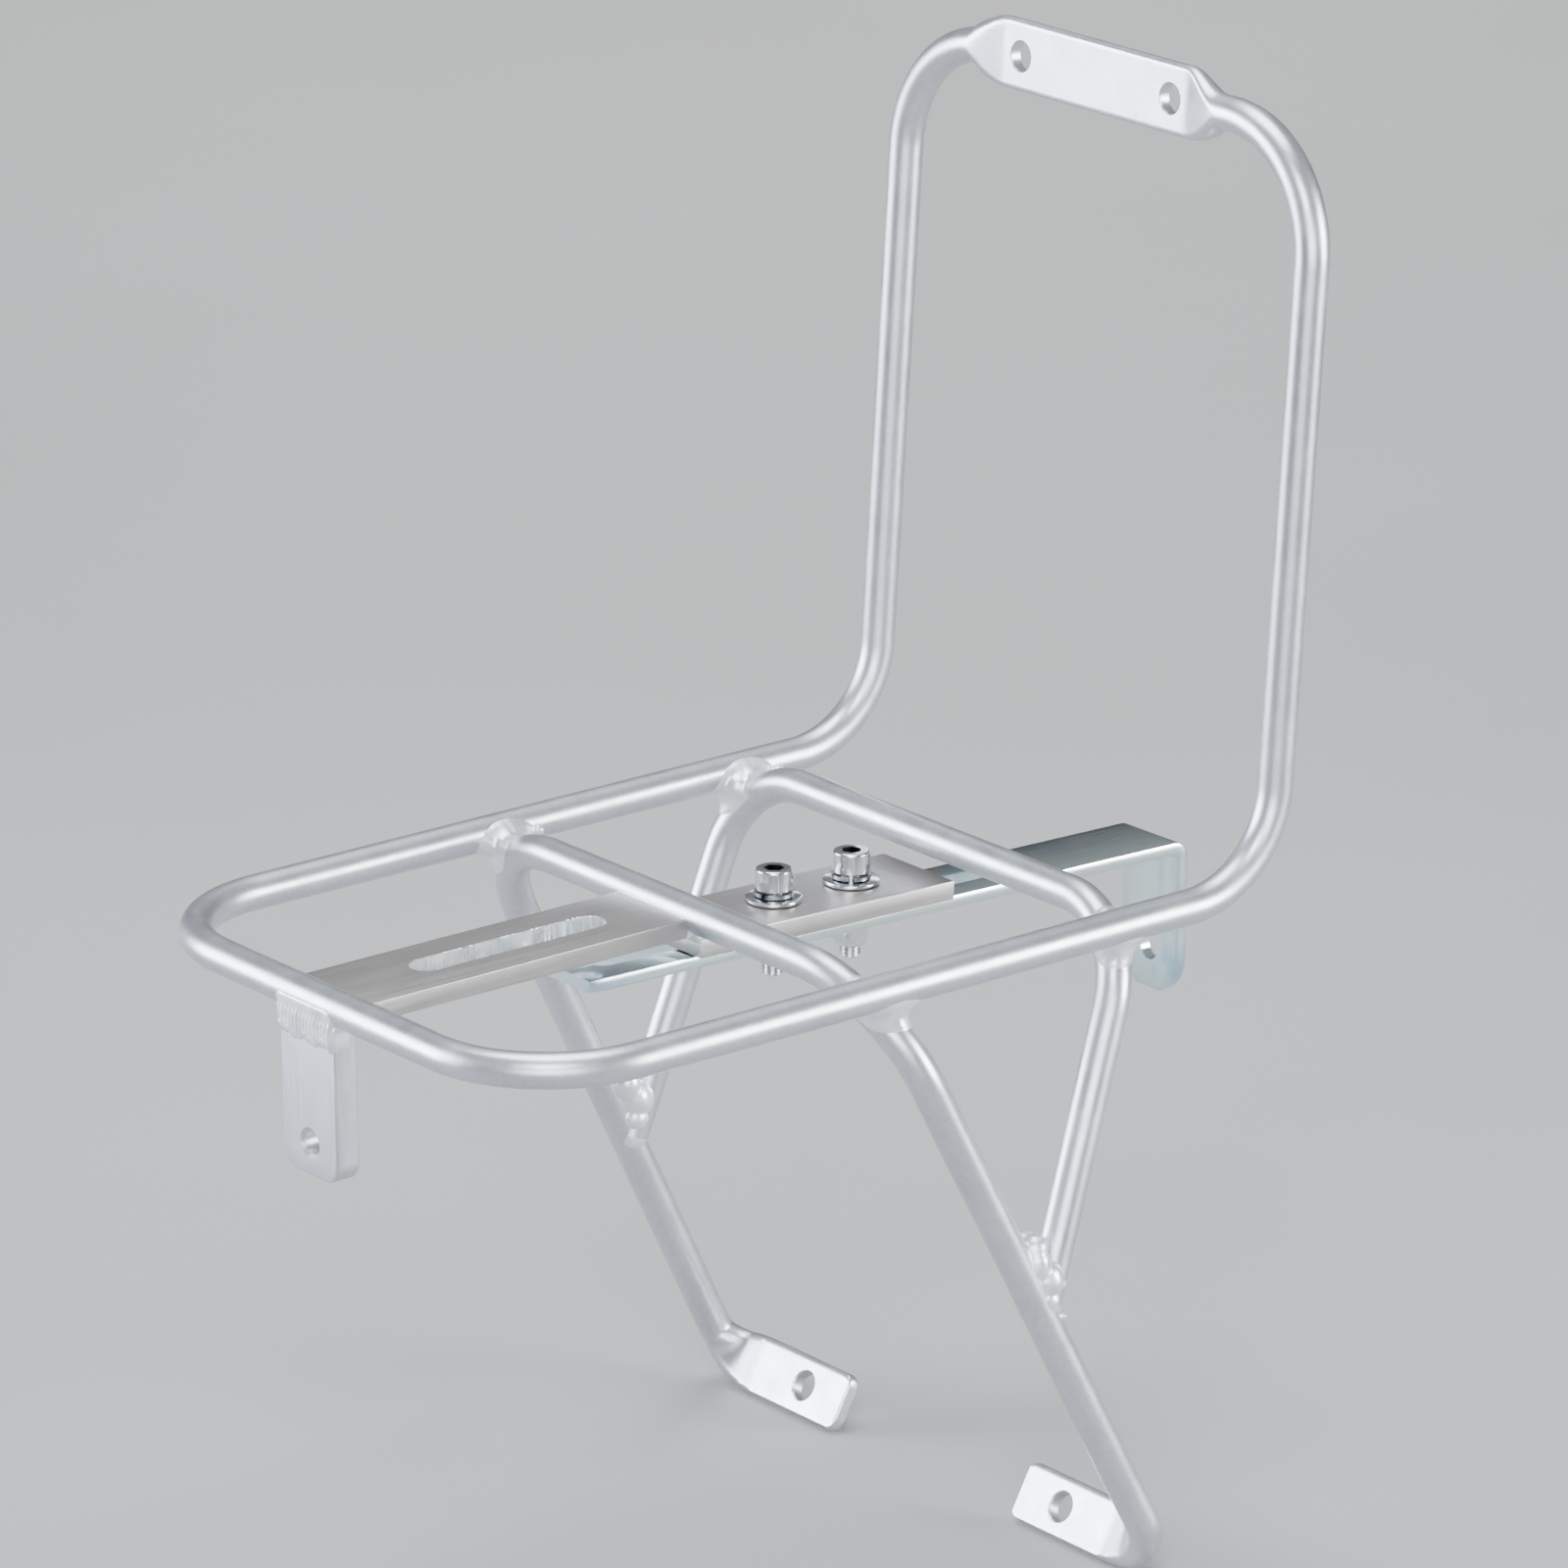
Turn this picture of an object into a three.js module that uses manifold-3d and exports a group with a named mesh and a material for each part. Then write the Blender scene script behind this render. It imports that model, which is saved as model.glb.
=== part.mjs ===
// A small aluminium bicycle rack: a platform bent from one round rod that also rises into a tall hoop,
// two inverted-U rods that carry it, flat bars down its middle and a slotted steel tongue that slides.
//
// Millimetres. +X runs from the lamp tab at the outer end to the hoop, +Y across, +Z up.
// Everything is laid out from the middle of the outer bar, on the level of the platform rods'
// centre lines, and the whole is then moved so that the origin lies midway between the two foot holes.

import * as THREE from "three";
import { mergeVertices } from "three/addons/utils/BufferGeometryUtils.js";
import Module from "manifold-3d";

const wasm = await Module();
wasm.setup();

// ---- driving dimensions ------------------------------------------------------------------------

const ROD_D = 8; // every round rod is solid 8 mm bar
const ROD_R = ROD_D / 2;
const ROD_SIDES = 16;
const FIT_GAP = 0.3; // clear space left between pieces that touch
const STACK_GAP = 0.25; // the same, between the washers of a bolted stack

const RAIL_Y = 70; // centre line of each side rail
const BAR_CORNER_R = 30;
const HOOP_X = 205; // where a rail would meet its upright
const HOOP_BEND_R = 25;
const HOOP_LEAN = 0.08; // radians, away from the platform
const HOOP_HEIGHT = 168; // along the upright, to the top bar's centre line
const HOOP_CORNER_R = 28;
const MIDLINE_Y = 4; // flat bars, tab and bolts sit on this line

const HOOP_FLAT_THICK = 3;
const HOOP_FLAT_TALL = 16.4;
const HOOP_FLAT_HALF = 31; // full width to here, then it tapers back to round
const HOOP_FLAT_TAPER = 11;
const HOOP_HOLE_HALF_SPACING = 25.7;
const HOOP_HOLE_R = 3.4;

const CROSS_Z = 0.8; // the cross rods stand a little above the rails' centre lines
const LEG = {
  crossX: 93.9,
  slopeX: 0.4897, // X gained for each millimetre down
  topY: 72.0,
  slopeY: 0.0432,
  bendR: 28,
};
const STRUT = {
  crossX: 166.7,
  slopeX: -0.362,
  topY: 68.3,
  slopeY: 0.0667,
  bendR: 22,
  depth: 92, // how far down the centre line runs before it is cut against the leg
};

const FOOT_Z = -146.3;
const FOOT_END_Y = 32.5;
const FOOT_HOLE_Y = 46.8;
const FOOT_BEND_R = 9;
const FOOT_THICK = 3.4;
const FOOT_TALL = 14;
const FOOT_HOLE_R = 3.5;
const FOOT_NORMAL = new THREE.Vector3(0.87, 0, -0.493).normalize();

const PLATE_W = 25;
const PLATE_T = 4.5;
const FRONT_PLATE_TOP = 1.15;
const FRONT_SLOT = { from: 25, to: 76.5, width: 8.2 };

const LAMP_TAB = {
  width: 20,
  thick: 6,
  bottomZ: -39.7,
  cornerR: 4.5,
  holeZ: -32.3,
  holeR: 3.3,
  stepZ: -9.4, // above here both faces are ground back a little for the weld
  stepDepth: 0.4,
};

// The clamp plate, the tongue and their bolts share one axis that dips towards the hoop.
const CLAMP_PIVOT = new THREE.Vector3(135, MIDLINE_Y, -5.65);
const CLAMP_DIP = 0.028; // radians
const CLAMP_PLATE = { from: 94, to: 165.5 };
const SCREW_X = [124, 146];
const PLATE_HOLE_R = 2.75;

const TONGUE = {
  from: 65.8,
  to: 237.3,
  width: 19.2,
  thick: 3,
  bendR: 4, // outside radius of the bend
  drop: 38.2, // top face down to the tip of the hanging end
  slotFrom: 73.5,
  slotTo: 188.5,
  slotWidth: 6,
  eyeWidth: 5.8,
  eyeTop: 17,
  eyeBottom: 30.5,
};

const SCREW = { headR: 4.25, headH: 5, socketFlats: 4, socketDepth: 2.5, shankR: 2.5, length: 20 };
const TOP_WASHER = { outerR: 6.5, innerR: 2.75, thick: 0.9 };
const SPRING_WASHER = { outerR: 4.5, innerR: 2.75, thick: 1.1, cut: 0.9 };
const LOW_WASHER = { outerR: 5, innerR: 2.75, thick: 0.9 };
const NUT = { flats: 8, height: 5, boreR: 2.75, collarR: 3.6, collarFrom: 3.9 };

// ---- materials ---------------------------------------------------------------------------------

const metal = (color, roughness, metalness = 1) =>
  new THREE.MeshStandardMaterial({ color, roughness, metalness });
const ROD_ALUMINIUM = () => metal(0xd3d8e0, 0.42);
const BRUSHED_BAR = () => metal(0xb9b6b6, 0.48);
const ZINC_STEEL = () => metal(0xc3dbe4, 0.24);
const SCREW_STEEL = () => metal(0xd6d8da, 0.2);
const WELD = () => metal(0xe2e8ee, 0.34);

// ---- solids: joining and cutting ---------------------------------------------------------------

const bare = (geometry) => {
  geometry.deleteAttribute("normal");
  geometry.deleteAttribute("uv");
  return mergeVertices(geometry, 1e-4);
};

const solid = (geometry) => {
  const merged = bare(geometry);
  return new wasm.Manifold(
    new wasm.Mesh({
      numProp: 3,
      vertProperties: new Float32Array(merged.attributes.position.array),
      triVerts: new Uint32Array(merged.index.array),
    }),
  );
};

const toGeometry = (manifold) => {
  const mesh = manifold.getMesh();
  const geometry = new THREE.BufferGeometry();
  geometry.setAttribute("position", new THREE.BufferAttribute(mesh.vertProperties, 3));
  geometry.setIndex(new THREE.BufferAttribute(mesh.triVerts, 1));
  geometry.computeVertexNormals();
  return geometry;
};

const cutBy = (manifold, cutters) => cutters.reduce((left, cutter) => left.subtract(cutter), manifold);

const root = new THREE.Group();

const place = (name, geometry, material, parent = root) => {
  const mesh = new THREE.Mesh(geometry, material);
  mesh.name = name;
  parent.add(mesh);
  return mesh;
};

// ---- rods --------------------------------------------------------------------------------------

// A centre line of straight runs and round bends. Every station is a ring of the extruded rod.
class RodPath extends THREE.Curve {
  constructor(corners) {
    super();
    this.stations = [];
    const first = corners[0];
    const last = corners[corners.length - 1];
    const along = (a, b) => b.clone().sub(a).normalize();
    this.addStation(first.at, along(first.at, corners[1].at));
    for (let i = 1; i < corners.length - 1; i++) {
      this.addRun(corners[i]);
      this.addBend(corners[i - 1].at, corners[i], corners[i + 1].at);
    }
    this.addRun(last);
    this.addStation(last.at, along(corners[corners.length - 2].at, last.at));
  }

  addStation(point, tangent) {
    this.stations.push({ point: point.clone(), tangent: tangent.clone() });
  }

  // Extra rings on the straight run that leads up to this corner.
  addRun(corner) {
    for (const point of corner.rings ?? []) {
      const tangent = this.stations[this.stations.length - 1].tangent;
      this.addStation(point, tangent);
    }
  }

  addBend(before, corner, after) {
    const inward = corner.at.clone().sub(before).normalize();
    const outward = after.clone().sub(corner.at).normalize();
    const turn = inward.angleTo(outward);
    const setback = corner.radius * Math.tan(turn / 2);
    const start = corner.at.clone().addScaledVector(inward, -setback);
    const toCentre = outward.clone().addScaledVector(inward, -Math.cos(turn)).normalize();
    const centre = start.clone().addScaledVector(toCentre, corner.radius);
    const steps = corner.steps ?? 8;
    for (let i = 0; i <= steps; i++) {
      const angle = (turn * i) / steps;
      const point = centre
        .clone()
        .addScaledVector(toCentre, -corner.radius * Math.cos(angle))
        .addScaledVector(inward, corner.radius * Math.sin(angle));
      const tangent = inward
        .clone()
        .multiplyScalar(Math.cos(angle))
        .addScaledVector(toCentre, Math.sin(angle));
      this.addStation(point, tangent);
    }
  }

  get steps() {
    return this.stations.length - 1;
  }

  getPoint(t, target = new THREE.Vector3()) {
    return target.copy(this.stations[Math.round(t * this.steps)].point);
  }

  getTangent(t, target = new THREE.Vector3()) {
    return target.copy(this.stations[Math.round(t * this.steps)].tangent);
  }

  getPointAt(u, target) {
    return this.getPoint(u, target);
  }

  getTangentAt(u, target) {
    return this.getTangent(u, target);
  }
}

const roundShape = (radius, sides = ROD_SIDES) => {
  const points = [];
  for (let i = 0; i < sides; i++) {
    const angle = (2 * Math.PI * i) / sides;
    points.push(new THREE.Vector2(radius * Math.cos(angle), radius * Math.sin(angle)));
  }
  return new THREE.Shape(points);
};

const rodGeometry = (path, radius = ROD_R) =>
  new THREE.ExtrudeGeometry(roundShape(radius), { steps: path.steps, extrudePath: path, bevelEnabled: false });

// Presses a rod flat where amount(point) is 1 and leaves it round where it is 0.
const pressFlat = (geometry, path, { normal, thick, tall, amount }) => {
  const position = geometry.attributes.position;
  const vertex = new THREE.Vector3();
  for (let i = 0; i < position.count; i++) {
    vertex.fromBufferAttribute(position, i);
    let nearest = null;
    let nearestDistance = Infinity;
    for (const station of path.stations) {
      const offset = vertex.clone().sub(station.point);
      const distance = offset.length();
      if (Math.abs(offset.dot(station.tangent)) < 1e-3 && distance < nearestDistance) {
        nearest = station;
        nearestDistance = distance;
      }
    }
    const share = amount(nearest.point);
    if (share <= 0) continue;
    const press = normal.clone().addScaledVector(nearest.tangent, -normal.dot(nearest.tangent)).normalize();
    const across = nearest.tangent.clone().cross(press);
    const offset = vertex.clone().sub(nearest.point);
    const through = offset.dot(press);
    const side = offset.dot(across);
    const flatThrough = (THREE.MathUtils.clamp((2.2 * through) / ROD_R, -1, 1) * thick) / 2;
    const flatSide = ((side / ROD_R) * tall) / 2;
    vertex
      .copy(nearest.point)
      .addScaledVector(press, THREE.MathUtils.lerp(through, flatThrough, share))
      .addScaledVector(across, THREE.MathUtils.lerp(side, flatSide, share));
    position.setXYZ(i, vertex.x, vertex.y, vertex.z);
  }
  return geometry;
};

const smooth = (value) => THREE.MathUtils.smoothstep(value, 0, 1);

// A cylinder whose axis is the given direction, centred on the given point.
const drill = (centre, direction, radius, length, sides = 24) => {
  const geometry = new THREE.CylinderGeometry(radius, radius, length, sides);
  const turn = new THREE.Quaternion().setFromUnitVectors(new THREE.Vector3(0, 1, 0), direction);
  geometry.applyQuaternion(turn);
  geometry.translate(centre.x, centre.y, centre.z);
  return solid(geometry);
};

const v = (x, y, z) => new THREE.Vector3(x, y, z);

const UPRIGHT = v(Math.sin(HOOP_LEAN), 0, Math.cos(HOOP_LEAN));
const HOOP_NORMAL = v(Math.cos(HOOP_LEAN), 0, -Math.sin(HOOP_LEAN));
const HOOP_TOP = v(HOOP_X, 0, 0).addScaledVector(UPRIGHT, HOOP_HEIGHT);

// Main rod: outer bar, both rails and the hoop in one bar whose ends meet above the lamp tab.
const flatRings = () => {
  const rings = [];
  const edge = HOOP_FLAT_HALF + HOOP_FLAT_TAPER;
  for (const offset of [edge, edge - 3, edge - 6, edge - 9, HOOP_FLAT_HALF, 0]) {
    rings.push(v(HOOP_TOP.x, MIDLINE_Y + offset, HOOP_TOP.z));
  }
  for (const offset of [HOOP_FLAT_HALF, edge - 9, edge - 6, edge - 3, edge]) {
    rings.push(v(HOOP_TOP.x, MIDLINE_Y - offset, HOOP_TOP.z));
  }
  return rings;
};

const mainPath = new RodPath([
  { at: v(0, MIDLINE_Y + FIT_GAP / 2, 0) },
  { at: v(0, RAIL_Y, 0), radius: BAR_CORNER_R },
  { at: v(HOOP_X, RAIL_Y, 0), radius: HOOP_BEND_R },
  { at: v(HOOP_TOP.x, RAIL_Y, HOOP_TOP.z), radius: HOOP_CORNER_R },
  { at: v(HOOP_TOP.x, -RAIL_Y, HOOP_TOP.z), radius: HOOP_CORNER_R, rings: flatRings() },
  { at: v(HOOP_X, -RAIL_Y, 0), radius: HOOP_BEND_R },
  { at: v(0, -RAIL_Y, 0), radius: BAR_CORNER_R },
  { at: v(0, MIDLINE_Y - FIT_GAP / 2, 0) },
]);

const hoopFlat = {
  normal: HOOP_NORMAL,
  thick: HOOP_FLAT_THICK,
  tall: HOOP_FLAT_TALL,
  amount: (point) => {
    const inHoopBar = point.distanceTo(v(HOOP_TOP.x, point.y, HOOP_TOP.z)) < 0.01;
    const past = Math.abs(point.y - MIDLINE_Y) - HOOP_FLAT_HALF;
    return inHoopBar ? 1 - smooth(past / HOOP_FLAT_TAPER) : 0;
  },
};

const hoopHoles = [-1, 1].map((side) =>
  drill(v(HOOP_TOP.x, MIDLINE_Y + side * HOOP_HOLE_HALF_SPACING, HOOP_TOP.z), HOOP_NORMAL, HOOP_HOLE_R, 12),
);
const mainRod = cutBy(solid(pressFlat(rodGeometry(mainPath), mainPath, hoopFlat)), hoopHoles);
place("main_hoop_rod", toGeometry(mainRod), ROD_ALUMINIUM());

// Inverted-U rods: the front one ends in drilled feet, the rear one leans against its legs.
const limbPoint = (limb, side, down) =>
  v(limb.crossX + limb.slopeX * down, side * (limb.topY + limb.slopeY * down), CROSS_Z - down);

const footCorner = (side) => limbPoint(LEG, side, CROSS_Z - FOOT_Z);

root.position.set(-footCorner(1).x, 0, -FOOT_Z);

const footRings = (side) => {
  const corner = footCorner(side);
  return [63.5, 60, 56, FOOT_HOLE_Y, 38].map((y) => v(corner.x, side * y, corner.z));
};

const legPath = new RodPath([
  { at: v(footCorner(1).x, FOOT_END_Y, FOOT_Z) },
  { at: footCorner(1), radius: FOOT_BEND_R, rings: footRings(1).reverse(), steps: 7 },
  { at: limbPoint(LEG, 1, 0), radius: LEG.bendR, steps: 10 },
  { at: limbPoint(LEG, -1, 0), radius: LEG.bendR, steps: 10 },
  { at: footCorner(-1), radius: FOOT_BEND_R, steps: 7 },
  { at: v(footCorner(-1).x, -FOOT_END_Y, FOOT_Z), rings: footRings(-1) },
]);

const footFlat = {
  normal: FOOT_NORMAL,
  thick: FOOT_THICK,
  tall: FOOT_TALL,
  amount: (point) => {
    const beyondFlat = Math.abs(point.y) - 63.5;
    const aboveFoot = point.z - FOOT_Z;
    return aboveFoot > 20 ? 0 : 1 - smooth(Math.max(beyondFlat / 14, aboveFoot / 8));
  },
};

const footHoles = [-1, 1].map((side) =>
  drill(v(footCorner(1).x, side * FOOT_HOLE_Y, FOOT_Z), FOOT_NORMAL, FOOT_HOLE_R, 14),
);
const legRod = cutBy(solid(pressFlat(rodGeometry(legPath), legPath, footFlat)), footHoles);
place("front_leg_rod", toGeometry(legRod), ROD_ALUMINIUM());

const strutPath = new RodPath([
  { at: limbPoint(STRUT, 1, STRUT.depth) },
  { at: limbPoint(STRUT, 1, 0), radius: STRUT.bendR, steps: 9 },
  { at: limbPoint(STRUT, -1, 0), radius: STRUT.bendR, steps: 9 },
  { at: limbPoint(STRUT, -1, STRUT.depth) },
]);

// A straight run of rod, fattened by the clear gap, to cut what rests against it.
const rodCutter = (from, to, extra = FIT_GAP) => {
  const middle = from.clone().lerp(to, 0.5);
  const direction = to.clone().sub(from).normalize();
  return drill(middle, direction, ROD_R + extra, from.distanceTo(to), ROD_SIDES);
};
const legCutters = [-1, 1].map((side) => rodCutter(limbPoint(LEG, side, 50), limbPoint(LEG, side, 130)));
// Below the leg nothing of the strut remains.
const belowLeg = [-1, 1].map((side) => {
  const direction = limbPoint(LEG, side, 1).sub(limbPoint(LEG, side, 0)).normalize();
  const under = v(direction.z, 0, -direction.x).normalize();
  const box = new THREE.BoxGeometry(60, 40, 16);
  const basis = new THREE.Matrix4().makeBasis(direction, under.clone().cross(direction), under);
  box.applyMatrix4(basis);
  const centre = limbPoint(LEG, side, 86).addScaledVector(under, 8 + 0.5);
  box.translate(centre.x, centre.y, centre.z);
  return solid(box);
});
const strutRod = cutBy(solid(rodGeometry(strutPath)), [...legCutters, ...belowLeg]);
place("rear_strut_rod", toGeometry(strutRod), ROD_ALUMINIUM());

// ---- flat bars and tab ---------------------------------------------------------------------------

const rectangle = (x0, x1, y0, y1) =>
  new THREE.Shape([
    new THREE.Vector2(x0, y0),
    new THREE.Vector2(x1, y0),
    new THREE.Vector2(x1, y1),
    new THREE.Vector2(x0, y1),
  ]);

// A slot with round ends, along the first axis of its plane, from end to end.
const slotPath = (from, to, centre, width) => {
  const radius = width / 2;
  const path = new THREE.Path();
  path.moveTo(from + radius, centre - radius);
  path.lineTo(to - radius, centre - radius);
  path.absarc(to - radius, centre, radius, -Math.PI / 2, Math.PI / 2, false);
  path.lineTo(from + radius, centre + radius);
  path.absarc(from + radius, centre, radius, Math.PI / 2, (3 * Math.PI) / 2, false);
  return path;
};

const circlePath = (x, y, radius) => new THREE.Path().absarc(x, y, radius, 0, 2 * Math.PI, false);

const slab = (shape, depth, curveSegments = 10) =>
  new THREE.ExtrudeGeometry(shape, { depth, bevelEnabled: false, curveSegments });

const OUTER_BAR = rodCutter(v(0, -40, 0), v(0, 45, 0));
const FRONT_CROSS = rodCutter(v(LEG.crossX, -40, CROSS_Z), v(LEG.crossX, 45, CROSS_Z));
const REAR_CROSS = rodCutter(v(STRUT.crossX, -40, CROSS_Z), v(STRUT.crossX, 45, CROSS_Z));

// The inner end is bevelled underneath, where it is welded to the cross rod.
const FRONT_PLATE_FROM = LAMP_TAB.thick / 2 + FIT_GAP;
const FRONT_PLATE_TO = LEG.crossX - ROD_R + 0.2;
const FRONT_PLATE_BEVEL = 1.6;
const frontPlateBlock = (extra) => {
  const shape = new THREE.Shape([
    new THREE.Vector2(FRONT_PLATE_FROM - extra, FRONT_PLATE_TOP + extra),
    new THREE.Vector2(FRONT_PLATE_FROM - extra, FRONT_PLATE_TOP - PLATE_T - extra),
    new THREE.Vector2(FRONT_PLATE_TO - FRONT_PLATE_BEVEL + extra, FRONT_PLATE_TOP - PLATE_T - extra),
    new THREE.Vector2(FRONT_PLATE_TO + extra, FRONT_PLATE_TOP + extra),
  ]);
  const block = slab(shape, PLATE_W + 2 * extra);
  block.rotateX(Math.PI / 2);
  block.translate(0, MIDLINE_Y + PLATE_W / 2 + extra, 0);
  return solid(block);
};
const frontSlotShape = new THREE.Shape(
  slotPath(FRONT_SLOT.from, FRONT_SLOT.to, MIDLINE_Y, FRONT_SLOT.width).getPoints(10),
);
const frontSlotCutter = slab(frontSlotShape, 20);
frontSlotCutter.translate(0, 0, -10);
const frontPlate = cutBy(frontPlateBlock(0), [solid(frontSlotCutter), OUTER_BAR, FRONT_CROSS]);
place("front_slotted_plate", toGeometry(frontPlate), BRUSHED_BAR());

// The tab's outline lies across Y and Z and is extruded along X.
const acrossToX = (geometry) => {
  const basis = new THREE.Matrix4().makeBasis(v(0, 1, 0), v(0, 0, 1), v(1, 0, 0));
  return geometry.applyMatrix4(basis);
};

const tabShape = () => {
  const { width, bottomZ, cornerR, holeZ, holeR } = LAMP_TAB;
  const y0 = MIDLINE_Y - width / 2;
  const y1 = MIDLINE_Y + width / 2;
  const shape = new THREE.Shape();
  shape.moveTo(y0, -2);
  shape.lineTo(y0, bottomZ + cornerR);
  shape.absarc(y0 + cornerR, bottomZ + cornerR, cornerR, Math.PI, 1.5 * Math.PI, false);
  shape.lineTo(y1 - cornerR, bottomZ);
  shape.absarc(y1 - cornerR, bottomZ + cornerR, cornerR, 1.5 * Math.PI, 2 * Math.PI, false);
  shape.lineTo(y1, -2);
  shape.holes.push(circlePath(MIDLINE_Y, holeZ, holeR));
  return shape;
};
const tabSlab = acrossToX(slab(tabShape(), LAMP_TAB.thick));
tabSlab.translate(-LAMP_TAB.thick / 2, 0, 0);
const tabSteps = [-1, 1].map((side) => {
  const box = new THREE.BoxGeometry(2, LAMP_TAB.width + 2, 20);
  const face = LAMP_TAB.thick / 2 - LAMP_TAB.stepDepth;
  box.translate(side * (face + 1), MIDLINE_Y, LAMP_TAB.stepZ + 10);
  return solid(box);
});
place("lamp_tab", toGeometry(cutBy(solid(tabSlab), [OUTER_BAR, ...tabSteps])), BRUSHED_BAR());

// ---- clamp plate, tongue and bolts: a group that dips towards the hoop ---------------------------

const clampGroup = new THREE.Group();
clampGroup.position.copy(CLAMP_PIVOT);
clampGroup.rotation.y = CLAMP_DIP;
root.add(clampGroup);

// Local frame: X along the tongue from the pivot, Y from the midline, Z up from the plate's top face.
const localX = (x) => x - CLAMP_PIVOT.x;

const clampShape = rectangle(localX(CLAMP_PLATE.from), localX(CLAMP_PLATE.to), -PLATE_W / 2, PLATE_W / 2);
for (const x of SCREW_X) {
  clampShape.holes.push(circlePath(localX(x), 0, PLATE_HOLE_R));
}
const clampSlab = slab(clampShape, PLATE_T);
clampSlab.translate(0, 0, -PLATE_T);
place("rear_clamp_plate", toGeometry(solid(clampSlab)), BRUSHED_BAR(), clampGroup);

const TONGUE_TOP = -PLATE_T - STACK_GAP;

// Side profile: a flat strip that turns down through a round bend.
const tongueProfile = () => {
  const { from, to, thick, bendR, drop } = TONGUE;
  const innerR = bendR - thick;
  const x1 = localX(to);
  const shape = new THREE.Shape();
  shape.moveTo(localX(from), TONGUE_TOP);
  shape.lineTo(localX(from), TONGUE_TOP - thick);
  shape.lineTo(x1 - bendR, TONGUE_TOP - thick);
  shape.absarc(x1 - bendR, TONGUE_TOP - bendR, innerR, Math.PI / 2, 0, true);
  shape.lineTo(x1 - thick, TONGUE_TOP - drop);
  shape.lineTo(x1, TONGUE_TOP - drop);
  shape.lineTo(x1, TONGUE_TOP - bendR);
  shape.absarc(x1 - bendR, TONGUE_TOP - bendR, bendR, 0, Math.PI / 2, false);
  return shape;
};

// End view: full width with a half-round tip, which trims the hanging end.
const tongueEnd = () => {
  const radius = TONGUE.width / 2;
  const tip = TONGUE_TOP - TONGUE.drop + radius;
  const shape = new THREE.Shape();
  shape.moveTo(radius, 2);
  shape.lineTo(-radius, 2);
  shape.lineTo(-radius, tip);
  shape.absarc(0, tip, radius, Math.PI, 2 * Math.PI, false);
  return shape;
};

const profileSlab = slab(tongueProfile(), TONGUE.width);
profileSlab.rotateX(Math.PI / 2);
profileSlab.translate(0, TONGUE.width / 2, 0);
const endSlab = acrossToX(slab(tongueEnd(), 220, 12));
endSlab.translate(localX(40), 0, 0);
const slotShape = new THREE.Shape(
  slotPath(localX(TONGUE.slotFrom), localX(TONGUE.slotTo), 0, TONGUE.slotWidth).getPoints(8),
);
const slotCutter = slab(slotShape, 10);
slotCutter.translate(0, 0, TONGUE_TOP - 6);
const eyeShape = new THREE.Shape(
  slotPath(-TONGUE.eyeBottom, -TONGUE.eyeTop, 0, TONGUE.eyeWidth).getPoints(8),
);
const eyeCutter = slab(eyeShape, 12);
eyeCutter.applyMatrix4(new THREE.Matrix4().makeBasis(v(0, 0, 1), v(0, -1, 0), v(1, 0, 0)));
eyeCutter.translate(localX(TONGUE.to) - 8, 0, TONGUE_TOP);
const tongue = cutBy(solid(profileSlab).intersect(solid(endSlab)), [solid(slotCutter), solid(eyeCutter)]);
place("tongue_strip", toGeometry(tongue), ZINC_STEEL(), clampGroup);

const hexShape = (flats) => {
  const points = [];
  for (let i = 0; i < 6; i++) {
    const angle = (Math.PI / 3) * i;
    const corner = flats / Math.sqrt(3);
    points.push(new THREE.Vector2(corner * Math.cos(angle), corner * Math.sin(angle)));
  }
  return new THREE.Shape(points);
};

// A ring turned about Z, standing on z = 0.
const ringGeometry = (innerR, outerR, thick, sides = 24) => {
  const profile = [
    new THREE.Vector2(innerR, 0),
    new THREE.Vector2(outerR, 0),
    new THREE.Vector2(outerR, thick),
    new THREE.Vector2(innerR, thick),
    new THREE.Vector2(innerR, 0),
  ];
  return new THREE.LatheGeometry(profile, sides).rotateX(Math.PI / 2);
};

const screwGeometry = () => {
  const { headR, headH, shankR, length, socketFlats, socketDepth } = SCREW;
  const edge = 0.5;
  const tipEdge = 0.6;
  const profile = [
    new THREE.Vector2(0, -length),
    new THREE.Vector2(shankR - tipEdge, -length),
    new THREE.Vector2(shankR, -length + tipEdge),
    new THREE.Vector2(shankR, 0),
    new THREE.Vector2(headR, 0),
    new THREE.Vector2(headR, headH - edge),
    new THREE.Vector2(headR - edge, headH),
    new THREE.Vector2(0, headH),
  ];
  const turned = new THREE.LatheGeometry(profile, 24).rotateX(Math.PI / 2);
  const socket = slab(hexShape(socketFlats), socketDepth + 1);
  socket.translate(0, 0, headH - socketDepth);
  return toGeometry(solid(turned).subtract(solid(socket)));
};

const springWasherGeometry = () => {
  const ring = solid(ringGeometry(SPRING_WASHER.innerR, SPRING_WASHER.outerR, SPRING_WASHER.thick));
  const split = new THREE.BoxGeometry(SPRING_WASHER.outerR + 2, SPRING_WASHER.cut, 4);
  split.rotateX(0.4);
  split.translate((SPRING_WASHER.outerR + 2) / 2, 0, SPRING_WASHER.thick / 2);
  return toGeometry(ring.subtract(solid(split)));
};

const nutGeometry = () => {
  const body = slab(hexShape(NUT.flats), NUT.collarFrom);
  body.translate(0, 0, NUT.height - NUT.collarFrom);
  const collar = new THREE.CylinderGeometry(NUT.collarR, NUT.collarR - 0.5, 2, 24).rotateX(Math.PI / 2);
  collar.translate(0, 0, 1);
  const bore = new THREE.CylinderGeometry(NUT.boreR, NUT.boreR, NUT.height + 2, 24).rotateX(Math.PI / 2);
  bore.translate(0, 0, NUT.height / 2);
  return toGeometry(solid(body).add(solid(collar)).subtract(solid(bore)));
};

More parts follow.
